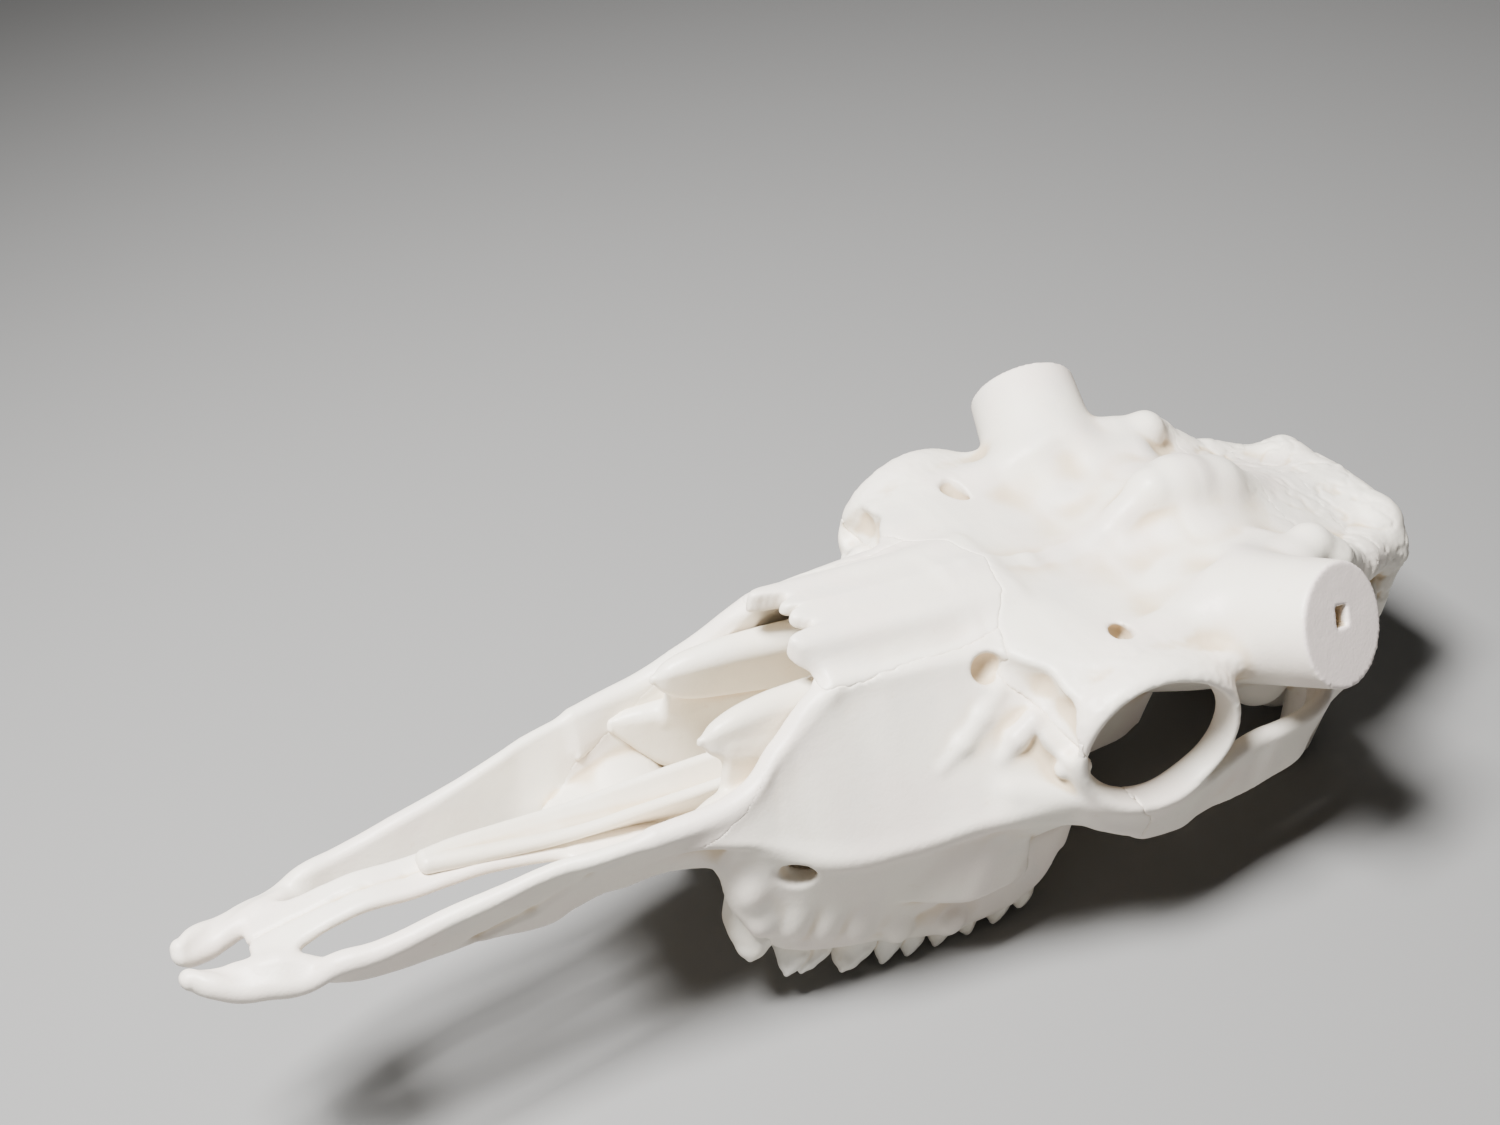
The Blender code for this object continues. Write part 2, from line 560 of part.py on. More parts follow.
def cast_mesh(clay, field, low, high, voxel, name):
    density = clamp(0.5 - field * (0.5 / voxel))
    cube = clay.tree.nodes.new("GeometryNodeVolumeCube")
    clay.tree.links.new(density.socket, cube.inputs["Density"])
    cube.inputs["Min"].default_value = low
    cube.inputs["Max"].default_value = high
    for axis, key in enumerate(("Resolution X", "Resolution Y", "Resolution Z")):
        cube.inputs[key].default_value = int((high[axis] - low[axis]) / voxel) + 1
    skin = clay.tree.nodes.new("GeometryNodeVolumeToMesh")
    skin.inputs["Threshold"].default_value = 0.5
    clay.tree.links.new(cube.outputs[0], skin.inputs["Volume"])
    out = clay.tree.nodes.new("NodeGroupOutput")
    clay.tree.links.new(skin.outputs[0], out.inputs[0])
    solid = new_solid(name, bpy.data.meshes.new(name))
    maker = solid.modifiers.new("form", "NODES")
    maker.node_group = clay.tree
    apply_all(solid)
    return solid


def new_solid(name, mesh, collection=None):
    solid = bpy.data.objects.new(name, mesh)
    (collection or MODEL).objects.link(solid)
    return solid


def apply_all(solid):
    graph = bpy.context.evaluated_depsgraph_get()
    mesh = bpy.data.meshes.new_from_object(solid.evaluated_get(graph), depsgraph=graph)
    solid.modifiers.clear()
    old = solid.data
    solid.data = mesh
    bpy.data.meshes.remove(old)
    mesh.name = solid.name


def thin_out(solid, faces):
    triangles = sum(len(face.vertices) - 2 for face in solid.data.polygons)
    fewer = solid.modifiers.new("fewer", "DECIMATE")
    fewer.ratio = faces / triangles
    fewer.use_symmetry = True
    fewer.symmetry_axis = "Y"
    apply_all(solid)


def boolean(solid, tool, kind, solver="EXACT"):
    change = solid.modifiers.new(kind.lower(), "BOOLEAN")
    change.operation = kind
    change.object = tool
    change.solver = solver
    apply_all(solid)


def cutter(name, corners, faces):
    mesh = bpy.data.meshes.new(name)
    build = bmesh.new()
    points = [build.verts.new(corner) for corner in corners]
    for face in faces:
        build.faces.new([points[i] for i in face])
    bmesh.ops.recalc_face_normals(build, faces=build.faces)
    build.to_mesh(mesh)
    build.free()
    solid = new_solid(name, mesh, CUTTERS)
    solid.hide_render = True
    solid.display_type = "WIRE"
    return solid


def prism(name, outline, plane, low, high):
    order = {"xz": (0, 2, 1), "xy": (0, 1, 2), "yz": (1, 2, 0)}[plane]
    corners = []
    for level in (low, high):
        for first, second in outline:
            corner = [0.0, 0.0, 0.0]
            corner[order[0]] = first
            corner[order[1]] = second
            corner[order[2]] = level
            corners.append(corner)
    count = len(outline)
    faces = [tuple(range(count)), tuple(range(2 * count - 1, count - 1, -1))]
    faces += [(i, (i + 1) % count, count + (i + 1) % count, count + i) for i in range(count)]
    return cutter(name, corners, faces)


def ribbon(name, line, plane, low, high):
    points = [Vector(point) for point in line]
    normals = [Vector((-(b - a).y, (b - a).x)).normalized() for a, b in zip(points, points[1:])]
    left = []
    right = []
    for i, point in enumerate(points):
        before = normals[max(i - 1, 0)]
        after = normals[min(i, len(normals) - 1)]
        mitre = (before + after).normalized()
        mitre *= GAP / 2 / max(mitre.dot(before), 0.3)
        left.append(point + mitre)
        right.append(point - mitre)
    return prism(name, left + right[::-1], plane, low, high)


def loose_parts(solid):
    build = bmesh.new()
    build.from_mesh(solid.data)
    build.verts.ensure_lookup_table()
    seen = set()
    parts = []
    for vert in build.verts:
        if vert.index in seen:
            continue
        group = []
        queue = [vert]
        seen.add(vert.index)
        while queue:
            one = queue.pop()
            group.append(one)
            for edge in one.link_edges:
                other = edge.other_vert(one)
                if other.index not in seen:
                    seen.add(other.index)
                    queue.append(other)
        parts.append([one.index for one in group])
    build.free()
    return parts


def take_part(solid, keep, name):
    build = bmesh.new()
    build.from_mesh(solid.data)
    build.verts.ensure_lookup_table()
    wanted = set(keep)
    gone = [vert for vert in build.verts if vert.index not in wanted]
    bmesh.ops.delete(build, geom=gone, context="VERTS")
    bmesh.ops.remove_doubles(build, verts=build.verts, dist=WELD)
    mesh = bpy.data.meshes.new(name)
    build.to_mesh(mesh)
    build.free()
    return new_solid(name, mesh)


def block(name, centre, way, size):
    turn = Vector(way).to_track_quat("Z", "Y").to_matrix()
    half = Vector(size) / 2
    signs = [(i, j, k) for k in (-1, 1) for j in (-1, 1) for i in (-1, 1)]
    corners = [Vector(centre) + turn @ Vector((i * half.x, j * half.y, k * half.z)) for i, j, k in signs]
    faces = [(0, 1, 3, 2), (4, 5, 7, 6), (0, 1, 5, 4), (2, 3, 7, 6), (0, 2, 6, 4), (1, 3, 7, 5)]
    return cutter(name, corners, faces)


for old in list(bpy.data.objects):
    bpy.data.objects.remove(old)
MODEL = bpy.data.collections.new("moose_skull_cast")
CUTTERS = bpy.data.collections.new("cutters")
bpy.context.scene.collection.children.link(MODEL)
bpy.context.scene.collection.children.link(CUTTERS)

MATERIALS = {}
for slot, colour in COLOURS.items():
    MATERIALS[slot] = bpy.data.materials.new(slot)
    MATERIALS[slot].use_nodes = True
    shader = MATERIALS[slot].node_tree.nodes["Principled BSDF"]
    shader.inputs["Base Color"].default_value = colour
    shader.inputs["Roughness"].default_value = ROUGHNESS
    shader.inputs["Metallic"].default_value = 0.0

clay = Clay("cast")
whole = cast_mesh(clay, cast_form(clay), LOW_CORNER, HIGH_CORNER, CAST_VOXEL, "whole")
thin_out(whole, CAST_FACES)
clay = Clay("teeth")
teeth = cast_mesh(clay, tooth_form(clay), TOOTH_LOW, TOOTH_HIGH, TOOTH_VOXEL, "teeth")
thin_out(teeth, 2 * TOOTH_FACES)
boolean(whole, teeth, "UNION", "MANIFOLD")
bpy.data.objects.remove(teeth)

# flat cut faces on the pedicles with a square socket in each, and flats under the points it stands on
for hand in (-1, 1):
    way = Vector((PEDICLE_WAY[0], hand * PEDICLE_WAY[1], PEDICLE_WAY[2])).normalized()
    tip = Vector((PEDICLE_TIP[0], hand * PEDICLE_TIP[1], PEDICLE_TIP[2]))
    boolean(whole, block("trim", tip + way * (TRIM_SIZE[2] / 2), way, TRIM_SIZE), "DIFFERENCE", "MANIFOLD")
    socket = block("socket", tip, way, (SOCKET_SIZE[0], SOCKET_SIZE[1], 2 * SOCKET_DEPTH))
    boolean(whole, socket, "DIFFERENCE", "MANIFOLD")

floor_way = Vector((sin(radians(REST_PITCH)), 0.0, -cos(radians(REST_PITCH))))
floor_point = floor_way * (REST_DEPTH - FLOOR_FLAT)
floor_trim = block("floor_trim", floor_point + floor_way * (FLOOR_SIZE[2] / 2), floor_way, FLOOR_SIZE)
boolean(whole, floor_trim, "DIFFERENCE", "MANIFOLD")

# the parts inside the nose come free first, then the bones round them
inner_cuts = [
    ribbon("vomer_cut", VOMER_CUT, "xz", -VOMER_CUT_SIDE, VOMER_CUT_SIDE),
    prism("scroll_cut", SCROLL_CUT, "yz", SCROLL_X, SCROLL_X + GAP),
]
for cut in inner_cuts:
    boolean(whole, cut, "DIFFERENCE", "MANIFOLD")
groups = sorted(loose_parts(whole), key=len, reverse=True)
pieces = [take_part(whole, group, "inner") for group in groups[1:]]
rest = take_part(whole, groups[0], "rest")
bpy.data.objects.remove(whole)

outer_cuts = [
    ribbon("face_cut", FACE_CUT, "xz", -SKULL_CUT_SIDE, SKULL_CUT_SIDE),
    ribbon("snout_cut", SNOUT_CUT, "xz", -SNOUT_CUT_SIDE, SNOUT_CUT_SIDE),
    ribbon("crown_cut", CROWN_CUT, "xz", -SKULL_CUT_SIDE, SKULL_CUT_SIDE),
    ribbon("nape_cut", NAPE_CUT, "xz", -NAPE_CUT_SIDE, NAPE_CUT_SIDE),
    ribbon("nasal_cut", NASAL_CUT, "yz", *NASAL_CUT_REACH),
    prism("middle_cut", MIDDLE_CUT, "xz", -GAP / 2, GAP / 2),
    prism("nasal_middle_cut", NASAL_MIDDLE_CUT, "xz", -GAP / 2, GAP / 2),
]
for hand in (-1, 1):
    way = Vector((PEDICLE_WAY[0], hand * PEDICLE_WAY[1], PEDICLE_WAY[2])).normalized()
    root = Vector((PEDICLE_ROOT[0], hand * PEDICLE_ROOT[1], PEDICLE_ROOT[2]))
    tip = Vector((PEDICLE_TIP[0], hand * PEDICLE_TIP[1], PEDICLE_TIP[2]))
    outer_cuts.append(block("pedicle_cut", root.lerp(tip, PEDICLE_CUT), way, PEDICLE_CUT_SIZE))
    outer_cuts.append(ribbon("arch_cut", [(x, hand * y) for x, y in ARCH_CUT], "xy", *ARCH_CUT_HEIGHTS))
for cut in outer_cuts:
    boolean(rest, cut, "DIFFERENCE", "MANIFOLD")
pieces += [take_part(rest, group, "bone") for group in loose_parts(rest) if len(group) >= SMALLEST_NODE]
bpy.data.objects.remove(rest)


def middle(solid):
    points = [vert.co for vert in solid.data.vertices]
    return sum(points, Vector()) / len(points)


stand = bpy.data.objects.new("rest_pose", None)
MODEL.objects.link(stand)
stand.rotation_euler = (0.0, radians(REST_PITCH), 0.0)
stand.location = REST_SHIFT
for name, place, slot in NODES:
    piece = min(pieces, key=lambda one: (middle(one) - Vector(place)).length)
    pieces.remove(piece)
    piece.name = name
    piece.data.name = name
    piece.data.materials.clear()
    piece.data.materials.append(MATERIALS[slot])
    piece.parent = stand
    for face in piece.data.polygons:
        face.use_smooth = True
for piece in pieces:
    bpy.data.objects.remove(piece)
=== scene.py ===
# Moose skull, life size: a cream resin cast without its lower jaw, resting on its cheek teeth and its rear.
# While it is shaped, x runs back from the snout tips, y to the right and z up, in metres.
# Every bone is a distance field in Geometry Nodes, folded on |y|, and turned to its rest pose at the end.
import math

import bpy
from mathutils import Matrix, Vector


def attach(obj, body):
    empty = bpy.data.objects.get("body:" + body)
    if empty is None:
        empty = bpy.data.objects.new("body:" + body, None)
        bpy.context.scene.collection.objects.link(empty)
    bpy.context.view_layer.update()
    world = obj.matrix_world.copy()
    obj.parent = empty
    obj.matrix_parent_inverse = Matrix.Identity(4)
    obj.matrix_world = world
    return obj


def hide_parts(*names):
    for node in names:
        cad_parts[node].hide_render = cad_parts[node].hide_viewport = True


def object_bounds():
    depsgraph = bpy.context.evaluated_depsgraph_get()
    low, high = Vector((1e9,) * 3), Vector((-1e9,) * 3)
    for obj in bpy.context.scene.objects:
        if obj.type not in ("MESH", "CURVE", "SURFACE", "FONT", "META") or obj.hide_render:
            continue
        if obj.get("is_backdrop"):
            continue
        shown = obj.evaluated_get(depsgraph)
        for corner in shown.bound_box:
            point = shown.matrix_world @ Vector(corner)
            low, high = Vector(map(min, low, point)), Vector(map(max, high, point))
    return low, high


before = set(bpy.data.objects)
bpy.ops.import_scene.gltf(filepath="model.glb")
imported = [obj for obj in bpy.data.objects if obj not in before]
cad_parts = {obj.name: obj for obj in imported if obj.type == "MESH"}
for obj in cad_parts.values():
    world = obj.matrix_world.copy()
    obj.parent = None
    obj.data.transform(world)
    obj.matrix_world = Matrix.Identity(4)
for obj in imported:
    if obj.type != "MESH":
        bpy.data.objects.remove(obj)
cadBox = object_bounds()
print("frame loaded:", len(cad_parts), "nodes")

pose = {"pitch": 16.045, "shift": (-0.3166, 0.0, 0.13829)}
restPose = Matrix.Translation(pose["shift"]) @ Matrix.Rotation(math.radians(pose["pitch"]), 4, "Y")


# one socket of a node tree, so that sums on it are written as plain Python
class Link:
    def __init__(self, graph, socket):
        self.graph, self.socket = graph, socket

    def __add__(self, other):
        return self.graph.maths("ADD", self, other)

    def __sub__(self, other):
        return self.graph.maths("SUBTRACT", self, other)

    def __rsub__(self, other):
        return self.graph.maths("SUBTRACT", other, self)

    def __mul__(self, other):
        return self.graph.maths("MULTIPLY", self, other)

    def __truediv__(self, other):
        return self.graph.maths("DIVIDE", self, other)

    def __rtruediv__(self, other):
        return self.graph.maths("DIVIDE", other, self)

    def __neg__(self):
        return self.graph.maths("MULTIPLY", self, -1.0)

    __radd__ = __add__
    __rmul__ = __mul__


# a node tree and the nodes that are added to it
class Graph:
    def __init__(self, tree):
        self.tree = tree

    # any node: its type, its settings, and the values or links of its sockets
    def node(self, kind, settings=None, values=None, out=0):
        made = self.tree.nodes.new(kind)
        for key, value in (settings or {}).items():
            setattr(made, key, value)
        pairs = values.items() if isinstance(values, dict) else enumerate(values or [])
        for key, value in pairs:
            if isinstance(value, Link):
                self.tree.links.new(value.socket, made.inputs[key])
            elif value is not None:
                made.inputs[key].default_value = value
        return Link(self, made.outputs[out])

    def maths(self, operation, *values):
        return self.node("ShaderNodeMath", {"operation": operation}, values)

    def vector(self, operation, *values, out=0):
        return self.node("ShaderNodeVectorMath", {"operation": operation}, values, out)

    def dot(self, one, other):
        return self.vector("DOT_PRODUCT", one, other, out=1)

    # what is inside all of these forms at once
    def inAll(self, *forms):
        total = forms[0]
        for form in forms[1:]:
            total = self.maths("MAXIMUM", total, form)
        return total

    def clamp(self, value, low=0.0, high=1.0):
        return self.maths("MINIMUM", self.maths("MAXIMUM", value, low), high)

    # a bell of height 1 that has faded out at this distance from zero
    def bell(self, value, wide):
        away = self.maths("ABSOLUTE", value)
        ends = {"Value": away, "From Min": 0.0, "From Max": wide, "To Min": 1.0, "To Max": 0.0}
        return self.node("ShaderNodeMapRange", {"interpolation_type": "SMOOTHERSTEP"}, ends)

    # 0 below low and 1 above high, smooth between them
    def fade(self, value, low, high):
        ends = {"Value": value, "From Min": low, "From Max": high, "To Min": 0.0, "To Max": 1.0}
        return self.node("ShaderNodeMapRange", {"interpolation_type": "SMOOTHSTEP"}, ends)

    # noise from 0 to 1 with marks of about this size, in metres
    def noise(self, place, size, detail=2.0, rough=0.5, seed=0.0):
        spot = self.vector("ADD", place, (seed, seed * 0.37, -seed * 0.61))
        return self.node("ShaderNodeTexNoise", {"noise_dimensions": "3D"},
                         {"Vector": spot, "Scale": 1.0 / size, "Detail": detail, "Roughness": rough})

    # a smooth curve through points of place and value, looked up at a place
    def profile(self, at, points):
        values = [point[1] for point in points]
        low, high = min(values), max(values)
        if high - low < 1e-6:
            return low
        made = self.tree.nodes.new("ShaderNodeFloatCurve")
        line = made.mapping.curves[0]
        start, span = points[0][0], points[-1][0] - points[0][0]
        places = [((x - start) / span, (value - low) / (high - low)) for x, value in points]
        line.points[0].location = places[0]
        line.points[1].location = places[-1]
        for place in places[1:-1]:
            line.points.new(*place)
        for point in line.points:
            point.handle_type = "AUTO_CLAMPED"
        made.mapping.update()
        self.tree.links.new(((at - start) * (1.0 / span)).socket, made.inputs["Value"])
        return Link(self, made.outputs[0]) * (high - low) + low


# a form as a node group of its own, so that each use of it is one node
def makeForm(name, inputs, build):
    tree = bpy.data.node_groups.new(name, "GeometryNodeTree")
    for key, kind in inputs.items():
        tree.interface.new_socket(name=key, in_out="INPUT", socket_type="NodeSocket" + kind)
    tree.interface.new_socket(name="Field", in_out="OUTPUT", socket_type="NodeSocketFloat")
    graph = Graph(tree)
    enter = tree.nodes.new("NodeGroupInput")
    field = build(graph, *[Link(graph, enter.outputs[key]) for key in inputs])
    tree.links.new(field.socket, tree.nodes.new("NodeGroupOutput").inputs[0])
    return tree


def rodField(graph, point, start, way, axis, radius, growth):
    place = graph.vector("SUBTRACT", point, start)
    share = graph.clamp(graph.dot(place, way))
    along = graph.node("ShaderNodeVectorMath", {"operation": "SCALE"}, {0: axis, "Scale": share})
    return graph.vector("LENGTH", graph.vector("SUBTRACT", place, along), out=1) - (share * growth + radius)


def blobField(graph, point, centre, radii, least):
    place = graph.vector("DIVIDE", graph.vector("SUBTRACT", point, centre), radii)
    return (graph.vector("LENGTH", place, out=1) - 1.0) * least


def railField(graph, side, height, past, sideA, heightA, sideB, heightB, half):
    across, rise = sideB - sideA, heightB - heightA
    offSide, offHeight = side - sideA, height - heightA
    share = graph.clamp((offSide * across + offHeight * rise) / (across * across + rise * rise + 1e-8))
    leftSide = offSide - share * across
    leftHeight = offHeight - share * rise
    return graph.maths("SQRT", leftSide * leftSide + leftHeight * leftHeight + past * past) - half


rodInputs = dict.fromkeys("Point,Start,Way,Axis".split(","), "Vector")
rodInputs.update({"Radius": "Float", "Growth": "Float"})
blobInputs = {"Point": "Vector", "Centre": "Vector", "Radii": "Vector", "Least": "Float"}
railInputs = dict.fromkeys("Side,Height,Past,Side A,Height A,Side B,Height B,Half".split(","), "Float")
rodTree = makeForm("rod", rodInputs, rodField)
blobTree = makeForm("blob", blobInputs, blobField)
railTree = makeForm("rail", railInputs, railField)


pieceInputs = {"Voxel": "Float", "Hand": "Float", "Low": "Vector", "High": "Vector"}


# the field of one piece; forms that can't reach the piece's box are left out of its tree
class Clay(Graph):
    def __init__(self, name, low, high, reach=0.024):
        super().__init__(bpy.data.node_groups.new(name, "GeometryNodeTree"))
        self.low, self.high, self.reach = low, high, reach
        for key, kind in pieceInputs.items():
            self.tree.interface.new_socket(name=key, in_out="INPUT", socket_type="NodeSocket" + kind)
        self.tree.interface.new_socket(name="Mesh", in_out="OUTPUT", socket_type="NodeSocketGeometry")
        inputs = self.tree.nodes.new("NodeGroupInput")
        self.voxel, self.hand, self.lowCorner, self.highCorner = [
            Link(self, inputs.outputs[key]) for key in pieceInputs]
        self.place = self.node("GeometryNodeInputPosition")
        parts = self.tree.nodes.new("ShaderNodeSeparateXYZ")
        self.tree.links.new(self.place.socket, parts.inputs[0])
        self.x, self.y, self.z = [Link(self, parts.outputs[i]) for i in range(3)]
        self.side = self.maths("ABSOLUTE", self.y)
        self.point = self.node("ShaderNodeCombineXYZ", None, (self.x, self.side, self.z))

    # whether a form within this box can touch the piece
    def reaches(self, low, high):
        sideHigh = max(abs(self.low[1]), abs(self.high[1]))
        sideLow = 0.0 if self.low[1] < 0.0 < self.high[1] else min(abs(self.low[1]), abs(self.high[1]))
        lowest = (self.low[0], sideLow, self.low[2])
        highest = (self.high[0], sideHigh, self.high[2])
        return all(low[i] - self.reach < highest[i] and high[i] + self.reach > lowest[i] for i in range(3))

    # forms joined with a soft fillet between them
    def join(self, forms, soft):
        total = None
        for form in forms:
            if form is not None:
                total = form if total is None else self.maths("SMOOTH_MIN", total, form, soft)
        return total

    # a form with a tool's shape cut out of it
    def carve(self, form, tool, soft):
        if tool is None or form is None:
            return form
        return self.maths("SMOOTH_MAX", form, -tool, soft)

    # a plate or bar from rows of x, side and height of its two edges, and its half thickness
    def rail(self, rows):
        sides = [row[1] for row in rows] + [row[3] for row in rows]
        heights = [row[2] for row in rows] + [row[4] for row in rows]
        if not self.reaches((rows[0][0], min(sides), min(heights)), (rows[-1][0], max(sides), max(heights))):
            return None
        edges = [self.profile(self.x, [(row[0], row[i]) for row in rows]) for i in range(1, 6)]
        past = self.inAll(rows[0][0] - self.x, self.x - rows[-1][0], 0.0)
        return self.node("GeometryNodeGroup", {"node_tree": railTree}, [self.side, self.z, past, *edges])

    # a rounded lump: its centre, three radii and a turn in degrees
    def blob(self, centre, radii, turn=None):
        most = max(radii)
        if not self.reaches([c - most for c in centre], [c + most for c in centre]):
            return None
        point = self.point
        if turn:
            angles = [math.radians(angle) for angle in turn]
            point = self.node("ShaderNodeVectorRotate", {"rotation_type": "EULER_XYZ", "invert": True},
                              {"Vector": point, "Center": centre, "Rotation": angles})
        return self.node("GeometryNodeGroup", {"node_tree": blobTree}, [point, centre, radii, min(radii)])

    # a straight rod with round ends, tapering from one radius to the other
    def rod(self, start, end, radius, endRadius=None):
        endRadius = radius if endRadius is None else endRadius
        most = max(radius, endRadius)
        low = [min(a, b) - most for a, b in zip(start, end)]
        high = [max(a, b) + most for a, b in zip(start, end)]
        if not self.reaches(low, high):
            return None
        axis = Vector(end) - Vector(start)
        return self.node("GeometryNodeGroup", {"node_tree": rodTree},
                         [self.point, start, axis / axis.length_squared, axis, radius, endRadius - radius])

    # rods through a row of points, each point with its radius
    def chain(self, points, soft=0.004):
        return self.join([self.rod(a[:3], b[:3], a[3], b[3]) for a, b in zip(points, points[1:])], soft)

    # the closed middle of the skull, from rows of x, middle height, half width and half height
    def body(self, rows, power):
        middle, width, height = [self.profile(self.x, [(row[0], row[i]) for row in rows]) for i in (1, 2, 3)]
        across = self.maths("POWER", self.side / width, power)
        along = self.maths("POWER", self.maths("ABSOLUTE", (self.z - middle) / height), power)
        form = (self.maths("POWER", across + along, 1.0 / power) - 1.0) * self.maths("MINIMUM", width, height)
        return self.inAll(form, rows[0][0] - self.x, self.x - rows[-1][0])

    # a ring round a line through its centre: bar is its half width, deep its half depth
    def hoop(self, centre, way, radius, bar, deep, stretch):
        if not self.reaches([c - radius - bar for c in centre], [c + radius + bar for c in centre]):
            return None
        way = Vector(way).normalized()
        place = self.vector("DIVIDE", self.vector("SUBTRACT", self.point, centre), (stretch, 1.0, 1.0))
        height = self.dot(place, way)
        full = self.vector("LENGTH", place, out=1)
        out = self.maths("SQRT", self.maths("MAXIMUM", full * full - height * height, 0.0)) - radius
        share = out * out * (1.0 / bar ** 2) + height * height * (1.0 / deep ** 2)
        return (self.maths("SQRT", share) - 1.0) * bar


# bars of the snout, the palate between them and the thin walls round the nose
snout = {
    "lateralBar": [
        (0.006, 0.0072, -0.002, 0.009, 0.0, 0.0046), (0.013, 0.0095, -0.004, 0.014, -0.001, 0.0056),
        (0.024, 0.012, -0.0014, 0.018, -0.003, 0.0058), (0.034, 0.0148, 0.0018, 0.021, -0.0016, 0.0058),
        (0.044, 0.0178, 0.0036, 0.024, -0.001, 0.0054), (0.061, 0.0245, 0.0014, 0.0276, 0.0078, 0.0052),
        (0.076, 0.0265, 0.001, 0.03, 0.0115, 0.0048), (0.105, 0.026, 0.003, 0.032, 0.023, 0.0045),
        (0.121, 0.0255, 0.004, 0.0335, 0.029, 0.0042), (0.149, 0.025, 0.002, 0.037, 0.041, 0.0035),
        (0.165, 0.024, 0.007, 0.041, 0.046, 0.0035), (0.187, 0.031, 0.02, 0.044, 0.052, 0.0035),
        (0.204, 0.034, 0.026, 0.046, 0.057, 0.0035), (0.223, 0.038, 0.028, 0.047, 0.063, 0.004),
        (0.245, 0.042, 0.03, 0.041, 0.083, 0.004), (0.27, 0.044, 0.032, 0.035, 0.106, 0.004),
    ],
    "medialBar": [
        (0.035, 0.003, 0.0026, 0.014, 0.0026, 0.004), (0.044, 0.0028, 0.0064, 0.013, 0.0058, 0.0038),
        (0.052, 0.0025, 0.0094, 0.0094, 0.009, 0.0034), (0.067, 0.0022, 0.015, 0.0085, 0.015, 0.003),
        (0.079, 0.0022, 0.018, 0.0084, 0.018, 0.003), (0.096, 0.0022, 0.019, 0.0086, 0.019, 0.003),
        (0.114, 0.0022, 0.022, 0.0086, 0.022, 0.003), (0.132, 0.0022, 0.024, 0.0086, 0.024, 0.003),
        (0.157, 0.0022, 0.024, 0.01, 0.024, 0.003), (0.172, 0.0022, 0.0225, 0.02, 0.0225, 0.0036),
    ],
    "medialGroove": [
        (0.047, 0.0, 0.012, 0.0012), (0.067, 0.0, 0.0186, 0.0014), (0.079, 0.0, 0.0217, 0.0014),
        (0.096, 0.0, 0.0227, 0.0014), (0.114, 0.0, 0.0257, 0.0014), (0.138, 0.0, 0.0277, 0.0014),
    ],
    "outerCrease": [
        (0.106, 0.0335, 0.0, 0.0016), (0.12, 0.0312, 0.0046, 0.0036), (0.142, 0.0356, 0.015, 0.004),
        (0.163, 0.0436, 0.035, 0.0036), (0.176, 0.048, 0.045, 0.0016),
    ],
    "grooveFillet": 0.002,
    "creaseFillet": 0.003,
    "barFillet": 0.005,
    "voxel": 0.0009,
}


def snoutForms(clay):
    medial = clay.rail(snout["medialBar"])
    medial = clay.carve(medial, clay.chain(snout["medialGroove"]), snout["grooveFillet"])
    lateral = clay.rail(snout["lateralBar"])
    lateral = clay.carve(lateral, clay.chain(snout["outerCrease"]), snout["creaseFillet"])
    palate = [clay.rail(face["palate"]), clay.blob(*face["palateBack"])]
    return clay.join([lateral, medial, *palate], snout["barFillet"])


